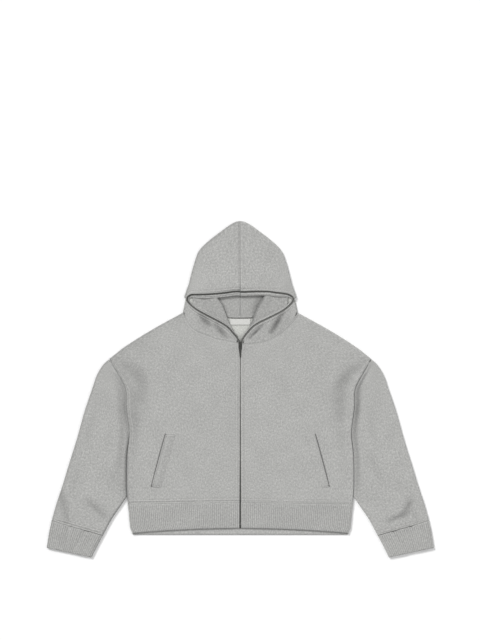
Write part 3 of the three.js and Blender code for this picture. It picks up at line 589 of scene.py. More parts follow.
def cuff_face(u, t):
    """A cuff: 0 to 1 over its top, to 3 round the outer fold, to 4 beneath, to 6 round again."""
    outer, inner = curve_of(CUFF_OUTER), curve_of(CUFF_INNER)
    across = unit(outer(t) - inner(t))
    start, end = inner(t) + across * ROLL, outer(t) - across * ROLL
    point = mix(start, end, np.clip(np.where(u <= 3, u, 4 - u), 0, 1)[..., None])
    turning = ((u > 1) & (u < 3)) | (u > 4)
    turn = np.where(u <= 3, 2 - u, u - 5) * math.pi / 2
    shift = np.where(u <= 3, ROLL, -ROLL) * np.cos(turn)
    point = np.where(turning[..., None], point + (across.T * shift).T, point)
    raised = rib_wave(u, 118) * smooth(u, 0, 0.02) * smooth(1 - u, 0, 0.02)
    raised = mix(RIB_RAISE, raised, smooth(t * CUFF_LENGTH, 0.5, 4))
    dent = -1.9 * hump(u - 0.3 - 0.12 * t, 0.05) - 1.6 * hump(u - 0.66 + 0.1 * t, 0.045)
    dent = dent * (1 - 0.6 * t)
    flat = np.where(u <= 1, 2 * ROLL - RIB_RAISE + raised + dent, 0)
    point[..., 2] = np.where(turning, ROLL + ROLL * np.sin(turn), flat)
    return point


def band_face(u, v):
    """The hem rib: to 1 beneath, to 3 round the side, and to 4 over the front to the zip."""
    s = np.abs(u)
    half = column_at(BAND_SIDE, "share", "half", v)
    turn = (s - 2) * math.pi / 2
    edge = (half - ROLL) * np.minimum(s, 1)
    zip_half = column_at(ZIP_EDGE, "up", "half", mix(-293, -361, v))
    front_out = mix(half - ROLL, zip_half, np.clip(s - 3, 0, 1))
    out = np.where(s <= 1, edge, np.where(s < 3, half - ROLL + ROLL * np.cos(turn), front_out))
    front_share = np.where(s <= 1, 0, np.where(s < 3, (s - 1) / 2, 1))
    top = hem_seam_up(out) - SEAM
    front_low = HEM_FRONT["middle"] - HEM_FRONT["drop"] * (out / half) ** 2
    low = mix(HEM_BACK, front_low, front_share)
    rolled = ROLL + ROLL * np.sin(turn)
    face_top = front_top("left", out, np.full_like(out, -330.0))
    face_top = face_top + edge_rise(half - ROLL - out, 2 * ROLL - CHEST_TOP)
    share = np.clip(s - 3, 0, 1)
    raised = rib_wave(share, 285) * smooth(share, 0, 0.01)
    raised = mix(RIB_RAISE, raised, smooth(v * HEM_LENGTH, 0.5, 4))
    sag = -0.5 * hump((1 - v) * HEM_LENGTH, 3)
    face_top = face_top - RIB_RAISE + raised + sag
    height = np.where(s <= 1, 0, np.where(s < 3, rolled, face_top))
    return plan(out * np.sign(u), mix(top, low, v), height)


def zip_line(side):
    """The zip's line round half the hood's mouth, and lines beside it."""
    line = curve_through(plan(ZIP_HOOD["out"], ZIP_HOOD[side], ZIP_HOOD["top"]))
    flat = curve_of(ZIP_HOOD, side)
    return lambda share, offset: line(share) + (right_of(flat, share).T * offset).T


def whole_zip_line(side):
    """The zip's line from the hem to the top of the hood's mouth."""
    body = plan(ZIP_BODY["out"], ZIP_BODY["up"], ZIP_BODY["top"])
    hood = plan(ZIP_HOOD["out"], ZIP_HOOD[side], ZIP_HOOD["top"])
    points = np.vstack([body, hood])
    line, flat = curve_through(points), curve_through(points * (1, 1, 0))
    return lambda share, offset: line(share) + (right_of(flat, share).T * offset).T


def tape_face(side):
    """The zip's tape: beside the middle line on the body, and inside the lip on the hood."""
    line = whole_zip_line(side)

    def face(u, v):
        hooded = smooth(v, ZIP_BODY_SHARE, ZIP_BODY_SHARE + 0.03)
        edge = mix(0, -TAPE["teeth"], hooded)
        return line(v, mix(edge, mix(TAPE["body"], TAPE["hood"], hooded), u))

    return face


def hood_face(side):
    """Half the hood: 0 to 1 from its lip to its fold, to 3 round the fold, and to 4 beneath."""
    line = zip_line(side)
    outline = curve_of(HOOD_OUTLINE)
    neck = curve_of({key: column[::-1] for key, column in BACK_NECK.items()})

    def face(v, u):
        inward = -right_of(outline, u)
        lip = line(mix(ZIP_CORNER, 1, u), np.full_like(u, EDGE_SHELL))
        fold = outline(u) + inward * ROLL
        seam = neck(u) + (0, SEAM, 0)
        lip_top = lip[..., 2] + SHELL_CLEAR + CLOTH
        lip[..., 2] = 0
        upper = mix(lip, fold, np.clip(v, 0, 1)[..., None])
        from_lip = np.linalg.norm(upper - lip, axis=-1)
        inside = smooth(1 - v, 0, 0.1) * smooth(from_lip, 6, 22)
        detail = inside * creases_lift(HOOD_CREASES[side], upper[..., 0], upper[..., 1])
        detail = detail + groove(from_lip - LIP_ROW, 1.5) + 0.5 * hump(from_lip - 3, 2.4)
        detail = detail - 1.0 * hump(upper[..., 0], 2.2) + 0.4 * hump(upper[..., 0] - 5, 3)
        upper[..., 2] = mix(lip_top, 2 * ROLL, smooth(v, 0, 1)) + detail * smooth(1 - v, 0, 0.04)
        turn = (2 - np.clip(v, 1, 3)) * math.pi / 2
        rolled = fold - (inward.T * ROLL * np.cos(turn)).T
        rolled[..., 2] = ROLL + ROLL * np.sin(turn)
        under = mix(fold, seam, np.clip(v - 3, 0, 1)[..., None])
        under[..., 2] = 0
        point = np.where((v <= 1)[..., None], upper, np.where((v < 3)[..., None], rolled, under))
        point[..., 0] = np.maximum(point[..., 0], 0.1)
        return point

    return face


COLLAR_FIRST, COLLAR_LAST, NECK_EASE = 0.03, 0.97, 0.95


def collar_face(side):
    """The hood's part beside the neck, from the zip to the shoulder and from the lip to the seam."""
    line, neck = zip_line(side), front_neck(side)

    def face(w, v):
        along = np.clip((w - COLLAR_FIRST) / (COLLAR_LAST - COLLAR_FIRST), 0, 1)
        lip = line(mix(0.02, ZIP_CORNER - 0.015, along), np.full_like(w, EDGE_SHELL))
        seam = neck(np.clip(w, COLLAR_FIRST, COLLAR_LAST)) + (0, SEAM, 0)
        seam[..., 1] = mix(seam[..., 1], SHOULDER["up"][0] + 0.2, smooth(w, NECK_EASE, COLLAR_LAST))
        lip_top = lip[..., 2] + SHELL_CLEAR + CLOTH
        seam_top = front_top(side, seam[..., 0], seam[..., 1])
        lip[..., 2] = 0
        seam[..., 2] = 0
        point = mix(lip, seam, v[..., None])
        from_lip = np.linalg.norm(point - lip, axis=-1)
        from_seam = np.linalg.norm(point - seam, axis=-1)
        share = np.sin(math.pi * np.clip(v, 0, 1)) ** 0.7 * (1 - along**4)
        creases = share * creases_lift(COLLAR_CREASES[side], point[..., 0], point[..., 1])
        sloped = mix(lip_top, seam_top, smooth(v, -0.1, 1))
        top = mix(sloped, 2 * ROLL, smooth(along, 0.85, 1)) + creases
        sewn = groove(from_lip - LIP_ROW, 1.5) + 0.5 * hump(from_lip - 3, 2.4)
        sewn = sewn + 0.4 * hump(from_seam, 2)
        point[..., 2] = top + sewn * (1 - smooth(along, 0.9, 1))
        turn = (2 - np.clip(w, 1, 3)) * math.pi / 2
        rolled = point + plan(ROLL * np.cos(turn) - 9 * np.maximum(w - 3, 0), 0)
        rolled[..., 2] = np.where(w > 3, 0, ROLL + ROLL * np.sin(turn))
        return np.where((w > COLLAR_LAST)[..., None], rolled, point)

    return face


def lining_floor_face(u, v):
    """The lining on the floor of the hood."""
    low = column_at(BACK_NECK, "out", "up", u) + SEAM
    ripple = 0.5 * np.sin(u / 17) * np.sin(v * 3) ** 2
    return plan(u, mix(low, 274, v), CLOTH + SEAM + 0.35 + ripple * 0.5)


def flap_face(side):
    """The lining folded inwards at a side of the mouth: beneath, round its fold, and over it."""
    fold, far = curve_of(FOLD), curve_through(plan(FOLD["flapOut"], FOLD["flapUp"]))
    radius = (CLOTH * 2 + SEAM) / 2

    def face(u, v):
        start = fold(v)
        away = far(v) - start
        width = np.linalg.norm(away, axis=-1)
        away = unit(away)
        crest = mix(FLAP["fold"], FLAP["foldLow"], smooth(v, 0.6, 0.85))
        distance = mix(radius, width, np.clip(u - 1, 0, 1))
        settle = smooth(distance, radius, FLAP["reach"])
        outer_part = smooth(start[..., 0] + distance, 98, 120)
        top = mix(mix(crest, FLAP["top"], settle), FLAP["sink"], outer_part)
        over = start + (away.T * distance).T
        crease = creases_lift(FLAP_CREASES[side], over[..., 0], over[..., 1])
        over[..., 2] = top + crease * smooth(distance, radius, 14)
        turn = np.clip(u, 0, 1) * math.pi - math.pi / 2
        rolled = start + (away.T * radius * (1 - np.cos(turn))).T
        rolled[..., 2] = crest - radius + radius * np.sin(turn)
        under_reach = np.maximum(radius + 0.5, np.minimum(FLAP["under"], width - radius))
        under = start + (away.T * mix(radius, under_reach, np.maximum(-u, 0))).T
        under[..., 2] = crest - 2 * radius
        point = np.where((u >= 1)[..., None], over, np.where((u >= 0)[..., None], rolled, under))
        point[..., 2] = np.maximum(point[..., 2], CLOTH + SEAM)
        return point

    return face


LINING_FROM = 0.05


def lining_edge_face(side):
    """The strip of cloth between the zip and the lining."""
    line = zip_line(side)

    def face(u, v):
        share = mix(LINING_FROM, 1, v)
        taper = smooth(share, LINING_FROM - 0.02, 0.25) * (1 - 0.75 * hump(share - ZIP_CORNER, 0.09))
        width = np.maximum(1.6, LINING_EDGE["width"] * taper)
        point = line(share, -(LINING_EDGE["inset"] + u * width))
        point[..., 2] += 0.5 + 0.5 * np.sin(math.pi * np.clip(u, 0, 1)) - 0.6 * hump(u - 0.75, 0.12)
        point[..., 0] = np.maximum(point[..., 0], 0.1)
        return point

    return face


def welt_face(side):
    """A pocket welt, proud at its free edge and nearly flush at its sewn one."""

    def face(u, v):
        out = mix(POCKET["out"][0], POCKET["out"][1], v) - u * WELT["width"]
        up = mix(POCKET["up"][0], POCKET["up"][1], v) - u * mix(1, 4, v)
        ends = np.minimum(v, 1 - v) * WELT_LENGTH
        top = front_top(side, out, up) + SEAM + WELT["thickness"]
        rounded = -0.9 * (1 - smooth(np.minimum(u * WELT["width"], ends), 0, 2.5))
        sunk = -2 * smooth(u * WELT["width"], 12, WELT["width"])
        sunk = sunk - 1.2 * (1 - smooth(ends, 0, 9)) * (1 - smooth(u, 0.5, 1))
        bartack = groove(ends - WELT_ROW, 1.4) + 0.25 * hump(u * WELT["width"] - 22, 1.5)
        return plan(out, up, top + rounded + sunk + bartack)

    return face


def pocket_shade_strip_face(side):
    """A strip of fleece in full painted shade, standing for the shade in the slit between the welt's
    free edge and the front.
    """

    def face(u, v):
        width = 2.6 * np.sin(math.pi * np.clip(v, 0, 1)) ** 0.35
        out = mix(POCKET["out"][0], POCKET["out"][1], v) + 0.2 + (1 - u) * width
        up = mix(POCKET["up"][0], POCKET["up"][1], v) + 2 * (0.5 - v)
        top = front_top(side, out, up) + 1.0 - 0.7 * np.sin(math.pi * np.clip(u, 0, 1))
        return plan(out, up, top)

    return face


def neck_tape_face(u, v):
    """The tape over the back neck's seam."""
    out = u * NECK_TAPE["half"]
    low = column_at(BACK_NECK, "out", "up", np.abs(out)) + SEAM
    height = 2 * CLOTH + 2 * SEAM + NECK_TAPE["thickness"]
    return plan(out, low + mix(NECK_TAPE["height"], 0, v), height - 0.4 * (2 * v - 1) ** 2)


def label_face(u, v):
    """The bare label, with a slight wave."""
    out = u * LABEL["width"]
    up = LABEL["top"] - v * LABEL["height"]
    wave = 0.12 * np.sin(u * 9 + 1) * np.sin(math.pi * v)
    return plan(out, up, CLOTH + SEAM + LABEL["thickness"] + wave)


# Meshes


def spaced(low, high, length, fine=(), step=None):
    """Values from low to high, a mesh step apart over a length in mm, with finer ones where grooves
    lie: fine lists (place in mm from low, half width in mm, step in mm)."""
    step = step or sizes().mesh_step / MM
    count = max(1, round(length / step))
    values = list(np.linspace(0, length, count + 1))
    for place, half, small in fine:
        values = [x for x in values if abs(x - place) > half * 0.999 or x in (0, length)]
        finer = np.arange(place - half, place + half + small / 2, small)
        values += [x for x in finer if 0 < x < length]
    values = sorted(values)
    kept = [values[0]]
    for value in values[1:]:
        if value - kept[-1] > 0.3:
            kept.append(value)
    kept[-1] = length
    return np.array(kept) / length * (high - low) + low


def painted_bend_shade(grid, width, length, outward):
    """How deep in a narrow hollow each point of a grid lies, from 0 to 1: less light gets in.
    It is painted shade, darkening the cloth's colour.
    """
    normals = np.cross(np.gradient(grid, axis=1), np.gradient(grid, axis=0))
    normals = unit(normals) * outward
    bends = np.zeros(grid.shape[:2])
    for axis, places in ((1, width), (0, length)):
        if len(places) > 4:
            slope = np.gradient(grid, places, axis=axis, edge_order=1)
            bend = np.gradient(slope, places, axis=axis, edge_order=1)
            bend[(slice(None),) * axis + (slice(0, 2),)] = 0
            bend[(slice(None),) * axis + (slice(-2, None),)] = 0
            bends += np.clip((bend * normals).sum(2) * MM, 0, 1)
    return np.clip(bends / 0.6, 0, 1)


def painted_crease_shade(creases, depth, strength):
    """Painted shade for a piece's creases, full where they are as deep as given."""
    return lambda out, up: strength * np.clip(-creases_lift(creases, out, up) / depth, 0, 1)


def painted_shade_beside_body(side):
    """Painted shade for a sleeve: in its own creases, and in the hollow where it leaves the body's
    side.
    """
    creased = painted_crease_shade(SLEEVE_CREASES[side], 2.2, 0.35)

    def shade(out, up):
        body = np.interp(up, BODY_SIDE["up"][::-1], BODY_SIDE["out"][::-1])
        reach = smooth(up, -300, -250) * (1 - smooth(up, 0, 50))
        strength = 0.24 + 0.3 * hump(up + 48, 48)
        return creased(out, up) + strength * reach * hump(out - body - 7, 11)

    return shade


def painted_shade_behind_flap(side):
    """Painted shade for the lining on the floor of the hood, where a flap stands over it, growing
    towards the top of the mouth, under the hood's lip.
    """
    breadth = {"left": 9, "right": 24}[side]

    def shade(out, up):
        fold = np.interp(up, FOLD["up"][::-1], FOLD["out"][::-1])
        deep = 1 - smooth(fold - out, 1, breadth * smooth(up, 150, 240) + 5)
        return 0.62 * deep + 0.3 * smooth(up, 236, 258)

    return shade


def cloth_piece(
    name, face, across, along, side=1, outward=1, wall=CLOTH, join=False, finish=None, inner=None,
    shade=None,
):
    """A piece of cloth: a grid laid on its form by face(u, v), with its thickness on the inner side.
    The UV map is in metres of cloth, with V along the wales. Shade says how deep in a broad hollow
    a place in the plan is, from 0 to 1. Both it and the narrow bends' shade are painted shade: stored
    in the "hollow" attribute, they darken the cloth's colour."""
    bm = bmesh.new()
    bmesh.ops.create_grid(
        bm, x_segments=len(across) - 1, y_segments=len(along) - 1, size=1
    )
    flat = np.array([vertex.co[:2] for vertex in bm.verts])
    places = (flat - flat.min(0)) / np.ptp(flat, axis=0) * (len(across) - 1, len(along) - 1)
    column, row = np.rint(places).astype(int).T
    points = face(across[column], along[row])
    broad = shade(points[:, 0], points[:, 1]) if shade else np.zeros(len(points))
    points = points * MM * (side, 1, 1)
    grid = np.empty((len(along), len(across), 3))
    grid[row, column] = points
    steps_across = np.linalg.norm(np.diff(grid, axis=1), axis=2).mean(0)
    steps_along = np.linalg.norm(np.diff(grid, axis=0), axis=2).mean(1)
    width = np.concatenate([[0], np.cumsum(steps_across)])
    length = np.concatenate([[0], np.cumsum(steps_along)])
    uv = bm.loops.layers.uv.new("cloth")
    for vertex, i, j in zip(bm.verts, column, row):
        for loop in vertex.link_loops:
            loop[uv].uv = (width[i], length[j])
    for vertex, point in zip(bm.verts, points):
        vertex.co = point
    # Painted shade: the narrow bends' and the broad hollows' darkening, which the materials multiply
    # in.
    hollow = bm.verts.layers.float.new("hollow")
    narrow = painted_bend_shade(grid, width, length, outward)[row, column]
    for vertex, depth in zip(bm.verts, np.clip(narrow + broad, 0, 1)):
        vertex[hollow] = depth
    if outward * side < 0:
        bmesh.ops.reverse_faces(bm, faces=bm.faces)
    if join:
        bmesh.ops.remove_doubles(bm, verts=bm.verts, dist=2e-5)
    area = sum(face_.calc_area() for face_ in bm.faces)
    mesh = bpy.data.meshes.new(name)
    bm.to_mesh(mesh)
    bm.free()
    piece = bpy.data.objects.new(name, mesh)
    bpy.context.scene.collection.objects.link(piece)
    mesh.shade_smooth()
    thickness = piece.modifiers.new("Cloth thickness", "SOLIDIFY")
    thickness.thickness = wall * MM
    thickness.offset = -1
    mesh.materials.append(finish)
    if inner:
        mesh.materials.append(inner)
        thickness.material_offset = 1
        thickness.material_offset_rim = 0
    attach(piece, GARMENT)
    piece["cut_width"] = float(max(np.linalg.norm(np.diff(grid, axis=1), axis=2).sum(1)))
    piece["cut_length"] = float(max(np.linalg.norm(np.diff(grid, axis=0), axis=2).sum(0)))
    piece["cut_area"] = float(area)
    return piece


def run_on(face, u, v, side=1, lift=0.2):
    """Points and normals along a line on a face, in metres."""
    step = 1e-4
    point = face(u, v)
    across = face(u + step, v) - face(u - step, v)
    along = face(u, v + step) - face(u, v - step)
    normal = unit(np.cross(across, along))
    normal = normal * np.where(normal[:, 2:] < 0, -1, 1)
    points = (point + normal * lift) * MM
    mirror = np.array([side, 1, 1])
    return points * mirror, normal * mirror


def along_run(points, normals, pitch):
    """Places a pitch apart along a run, with their directions and normals."""
    reach = np.concatenate([[0], np.cumsum(np.linalg.norm(np.diff(points, axis=0), axis=1))])
    count = max(1, int(reach[-1] // pitch))
    at = (np.arange(count) + 0.5) * reach[-1] / count

    def place(values, where):
        return np.stack([np.interp(where, reach, values[:, axis]) for axis in range(3)], -1)

    direction = unit(place(points, at + pitch / 4) - place(points, at - pitch / 4))
    return place(points, at), direction, unit(place(normals, at))


def frame_matrix(point, direction, normal, scale):
    """Where a small shape goes: its X along the run, its Z off the surface."""
    x_axis = Vector(direction)
    z_axis = (Vector(normal) - x_axis * Vector(normal).dot(x_axis)).normalized()
    y_axis = z_axis.cross(x_axis)
    turn = Matrix((x_axis, y_axis, z_axis)).transposed().to_4x4()
    return Matrix.Translation(point) @ turn @ Matrix.Diagonal((*scale, 1))


def finished(name, bm, finish, body=GARMENT, smooth_shade=True):
    """Makes a piece of a finished mesh, which rides on a body."""
    bmesh.ops.recalc_face_normals(bm, faces=bm.faces)
    mesh = bpy.data.meshes.new(name)
    bm.to_mesh(mesh)
    bm.free()
    piece = bpy.data.objects.new(name, mesh)
    bpy.context.scene.collection.objects.link(piece)
    if smooth_shade:
        mesh.shade_smooth()
    mesh.materials.append(finish)
    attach(piece, body)
    return piece


def stitch_piece(name, runs, finish, width=0.0011, height=0.0006):
    """Rows of topstitching: each stitch is a small rounded bead of thread."""
    bm = bmesh.new()
    length = sizes().stitch_length
    for points, normals in runs:
        for point, direction, normal in zip(*along_run(points, normals, sizes().stitch_pitch)):
            bmesh.ops.create_uvsphere(
                bm, u_segments=6, v_segments=4, radius=0.5,
                matrix=frame_matrix(point, direction, normal, (length, width, height)),
            )
    return finished(name, bm, finish)


# Materials


def linear(hex_colour):
    """An sRGB hex colour as linear RGBA."""
    channels = [int(hex_colour[i : i + 2], 16) / 255 for i in (1, 3, 5)]
    return (*(c / 12.92 if c <= 0.04045 else ((c + 0.055) / 1.055) ** 2.4 for c in channels), 1)


def add_node(tree, kind, settings=None, inputs=None):
    """Adds a node with its settings, and a value or a link for each of its inputs."""
    made = tree.nodes.new(kind)
    for key, value in (settings or {}).items():
        setattr(made, key, value)
    for key, value in (inputs or {}).items():
        if isinstance(value, bpy.types.NodeSocket):
            tree.links.new(value, made.inputs[key])
        else:
            made.inputs[key].default_value = value
    return made


def new_material(name):
    made = bpy.data.materials.new(name)
    made.use_nodes = True
    tree = made.node_tree
    tree.nodes.clear()
    return made, tree


def output(tree, shader):
    add_node(tree, "ShaderNodeOutputMaterial", inputs={"Surface": shader.outputs[0]})


def streaks(tree, vector, scale, detail=3.0, roughness=0.6):
    """Noise whose grains are longer along the wales. Scale is in grains per metre, across and along."""
    stretched = add_node(tree, "ShaderNodeMapping", inputs={"Vector": vector, "Scale": (*scale, 1)})
    return add_node(
        tree, "ShaderNodeTexNoise",
        inputs={"Vector": stretched.outputs[0], "Scale": 1.0, "Detail": detail, "Roughness": roughness},
    ).outputs["Fac"]


def ramp(tree, value, *stops):
    """A colour ramp with its stops: (place, colour)."""
    made = add_node(tree, "ShaderNodeValToRGB", inputs={"Fac": value})
    elements = made.color_ramp.elements
    while len(elements) < len(stops):
        elements.new(0.5)
    for element, (place, colour) in zip(elements, stops):
        element.position = place
        element.color = colour
    return made.outputs["Color"]


def bumped(tree, *layers):
    """Bumps laid over each other: (height, distance in metres, strength)."""
    normal = None
    for height, distance, strength in layers:
        inputs = {"Height": height, "Distance": distance, "Strength": strength}
        if normal:
            inputs["Normal"] = normal
        normal = add_node(tree, "ShaderNodeBump", inputs=inputs).outputs["Normal"]
    return normal


def multiplied(tree, first, second):
    """One colour times another. On a colour Mix node, the colour inputs come after the number ones."""
    made = add_node(tree, "ShaderNodeMix", {"data_type": "RGBA", "blend_type": "MULTIPLY"})
    made.inputs[0].default_value = 1.0
    tree.links.new(first, made.inputs[6])
    tree.links.new(second, made.inputs[7])
    return made.outputs[2]


def marl_material(name, dark, mean, light, grain, sheen=0.25):
    """Cotton fleece or rib knitted from marl yarn: light and dark fibres spun together, so the face is
    mottled in short streaks along the wales, with a dry surface and a little nap. The real fibres are
    0.02 mm thick; the streaks are drawn 1 to 4 mm wide, as coarse as it takes for them to show."""
    made, tree = new_material(name)
    cloth = add_node(tree, "ShaderNodeUVMap", {"uv_map": "cloth"}).outputs["UV"]
    fine = streaks(tree, cloth, grain)
    flecks = streaks(tree, cloth, (grain[0] * 2.1, grain[1] * 1.6), 2.0)
    place = add_node(tree, "ShaderNodeTexCoord").outputs["Object"]
    cloudy = add_node(
        tree, "ShaderNodeTexNoise", inputs={"Vector": place, "Scale": 22.0, "Detail": 3.0}
    ).outputs["Fac"]
    mottled = ramp(tree, fine, (0.3, linear(dark)), (0.5, linear(mean)), (0.7, linear(light)))
    flecked = ramp(tree, flecks, (0.3, linear(dark)), (0.44, linear(mean)), (0.74, linear(light)))
    both = add_node(tree, "ShaderNodeMix", {"data_type": "RGBA"})
    both.inputs[0].default_value = 0.4
    tree.links.new(mottled, both.inputs[6])
    tree.links.new(flecked, both.inputs[7])
    fibres = both.outputs[2]
    soft = ramp(tree, cloudy, (0.3, (0.93, 0.93, 0.93, 1)), (0.7, (1, 1, 1, 1)))
    clouded = multiplied(tree, fibres, soft)
    # Painted shade: the colour is darkened by the "hollow" attribute, down to 0.4 of itself at 1.
    hollow = add_node(tree, "ShaderNodeAttribute", {"attribute_name": "hollow"}).outputs["Fac"]
    shaded = ramp(tree, hollow, (0.0, (1, 1, 1, 1)), (1.0, (0.4, 0.4, 0.4, 1)))
    colour = multiplied(tree, clouded, shaded)
    normal = bumped(tree, (flecks, 0.0005, 0.35), (fine, 0.0006, 0.3))
    shader = add_node(
        tree, "ShaderNodeBsdfPrincipled",
        inputs={
            "Base Color": colour, "Roughness": 0.92, "IOR": 1.46, "Normal": normal,
            "Sheen Weight": sheen, "Sheen Roughness": 0.6,
        },
    )
    output(tree, shader)
    return made


def tape_material():
    """Woven polyester zip tape: a fine herringbone in mid grey, with a slight shine."""
    made, tree = new_material("woven polyester zip tape")
    cloth = add_node(tree, "ShaderNodeUVMap", {"uv_map": "cloth"}).outputs["UV"]
    weave = add_node(
        tree, "ShaderNodeTexWave", {"wave_type": "BANDS", "bands_direction": "DIAGONAL"},
        {"Vector": cloth, "Scale": 180.0, "Distortion": 0.5, "Detail": 1.0},
    ).outputs["Fac"]
    colour = ramp(tree, weave, (0.2, linear("#5f5f5d")), (0.8, linear("#7f7f7c")))
    shader = add_node(
        tree, "ShaderNodeBsdfPrincipled",
        inputs={
            "Base Color": colour, "Roughness": 0.7, "IOR": 1.5,
            "Normal": bumped(tree, (weave, 0.0002, 0.4)),
        },
    )
    output(tree, shader)
    return made


def metal_material():
    """Brass plated in gunmetal: a dark, smooth metal with faint tumbling marks."""
    made, tree = new_material("gunmetal plated brass")
    place = add_node(tree, "ShaderNodeTexCoord").outputs["Object"]
    marks = add_node(
        tree, "ShaderNodeTexNoise", inputs={"Vector": place, "Scale": 1800.0, "Detail": 4.0}
    ).outputs["Fac"]
    colour = ramp(tree, marks, (0.3, linear("#454543")), (0.75, linear("#666663")))
    shader = add_node(
        tree, "ShaderNodeBsdfPrincipled",
        inputs={
            "Base Color": colour, "Metallic": 1.0, "Roughness": 0.34,
            "Normal": bumped(tree, (marks, 0.00005, 0.3)),
        },
    )
    output(tree, shader)
    return made


def label_material():
    """Woven satin label, left bare: fine shiny threads along its length."""
    made, tree = new_material("white woven satin")
    cloth = add_node(tree, "ShaderNodeUVMap", {"uv_map": "cloth"}).outputs["UV"]
    threads = streaks(tree, cloth, (300, 3000), 1.0)
    colour = ramp(tree, threads, (0.3, linear("#bfbfbc")), (0.7, linear("#d8d8d5")))
    shader = add_node(
        tree, "ShaderNodeBsdfPrincipled",
        inputs={
            "Base Color": colour, "Roughness": 0.45, "IOR": 1.5,
            "Normal": bumped(tree, (threads, 0.0001, 0.3)),
        },
    )
    output(tree, shader)
    return made


def thread_material():
    """Spun polyester sewing thread in the cloth's grey."""
    made, tree = new_material("grey polyester thread")
    place = add_node(tree, "ShaderNodeTexCoord").outputs["Object"]
    twist = add_node(
        tree, "ShaderNodeTexNoise", inputs={"Vector": place, "Scale": 2500.0, "Detail": 2.0}
    ).outputs["Fac"]
    colour = ramp(tree, twist, (0.35, linear("#bdbdba")), (0.65, linear("#dadad7")))
    shader = add_node(
        tree, "ShaderNodeBsdfPrincipled",
        inputs={"Base Color": colour, "Roughness": 0.6, "IOR": 1.5,
                "Normal": bumped(tree, (twist, 0.0001, 0.4))},
    )
    output(tree, shader)
    return made


def floor_material():
    """White matt studio paper, with the faintest fibre."""
    made, tree = new_material("white studio paper")
    place = add_node(tree, "ShaderNodeTexCoord").outputs["Object"]
    fibre = add_node(
        tree, "ShaderNodeTexNoise", inputs={"Vector": place, "Scale": 60.0, "Detail": 3.0}
    ).outputs["Fac"]
    colour = ramp(tree, fibre, (0.3, linear("#f8f8f8")), (0.7, linear("#fbfbfb")))
    shader = add_node(
        tree, "ShaderNodeBsdfPrincipled", inputs={"Base Color": colour, "Roughness": 0.95}
    )
    output(tree, shader)
    return made


MATERIALS = {}


def finish_of(name):
    """A material by its short name, made once."""
    makers = {
        "fleece": lambda: marl_material(
            "marl cotton fleece", "#8b8b89", "#a7a7a5", "#c8c8c5", (300, 190)
        ),
        "rib": lambda: marl_material("marl cotton rib", "#8d8d8b", "#aaaaa8", "#c9c9c6", (300, 190)),
        "inside": lambda: marl_material(
            "brushed inside of marl fleece", "#a5a5a2", "#c3c4bf", "#dcdcd8", (260, 230), 0.4
        ),
        # The lining's colours are set darker than the fleece's: painted shade for the inside of the
        # hood's mouth.
        "lining": lambda: marl_material(
            "marl cotton jersey lining in painted shade", "#868684", "#a0a09e", "#bebebb", (300, 190)
        ),
        "tape": tape_material,
        "metal": metal_material,
        "label": label_material,
        "thread": thread_material,
        "floor": floor_material,
    }
    if name not in MATERIALS:
        MATERIALS[name] = makers[name]()
    return MATERIALS[name]


# Pieces


def name_on(base, side):
    return f"{base}_{side}"


def slotted(piece, slot, *nodes):
    """Hides the solids that a piece replaces. The slot is not used."""
    if nodes:
        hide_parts(*nodes)
    return piece


class SWEATSHIRT_OT_body(bpy.types.Operator):
    """Makes the back panel and the two fronts"""

    bl_idname = "sweatshirt.body"
    bl_label = "Body"

    def execute(self, context):
        fleece, inside = finish_of("fleece"), finish_of("inside")
        half = np.concatenate([np.linspace(0.001, 0.97, 40), np.linspace(1, 2, 7)])
        across = np.concatenate([-half[::-1], half])
        along = np.unique(np.concatenate([np.linspace(0, 1, 110), [0.358, SHOULDER_SHARE, 0.382]]))
        back = cloth_piece(
            "back_cloth", back_face, across, along, outward=1, finish=fleece, inner=inside,
            # Painted shade on the back's inside at the foot of the hood's mouth, just above the slider.
            shade=lambda out, up: 0.9 * hump(np.hypot(out, up - 122), 17),
        )
        slotted(back, "fleece", "back_panel")
        for side, sign in SIDES.items():
            flat = spaced(0, 1, 330, fine=((6.5, 7, 1.1), (325, 5, 1.1)))
            across = np.concatenate([flat[:-1], np.linspace(1, 2, 8)])
            along = spaced(0, 1, 470, fine=((3, 5, 1.2), (464, 6, 1.1)))
            along = np.unique(np.concatenate([along, [0.358, SHOULDER_SHARE, 0.382]]))
            front = cloth_piece(
                name_on("front_cloth", side), front_face(side), across, along, sign, -1,
                # Painted shade in the front's creases.
                finish=fleece, inner=inside, shade=painted_crease_shade(FRONT_CREASES[side], 3.2, 0.36),
            )
            slotted(front, "fleece", name_on("front", side))
        return {"FINISHED"}


class SWEATSHIRT_OT_sleeves(bpy.types.Operator):
    """Makes the two sleeves as flattened tubes"""

    bl_idname = "sweatshirt.sleeves"
    bl_label = "Sleeves"

    def execute(self, context):
        across = np.concatenate([
            np.linspace(-1, 0, 7)[:-1], np.linspace(0, 0.2, 16)[:-1], np.linspace(0.2, 1, 36)[:-1],
            np.linspace(1, 3, 13)[:-1], np.linspace(3, 4, 12)[:-1], np.linspace(4, 5, 7),
        ])
        along = spaced(0, 1, 470, fine=((461, 7, 1.1),))
        corner = SLEEVE_BODY["share"] + np.array([-0.004, 0.004])
        along = np.unique(np.concatenate([along, corner]))
        for side, sign in SIDES.items():
            sleeve = cloth_piece(
                name_on("sleeve_cloth", side), sleeve_face(side), across, along, sign, -1,
                join=True, finish=finish_of("fleece"), inner=finish_of("inside"),
                # Painted shade on the sleeve beside the body's side and in its creases.
                shade=painted_shade_beside_body(side),
            )
            slotted(sleeve, "fleece", name_on("sleeve", side))
        return {"FINISHED"}


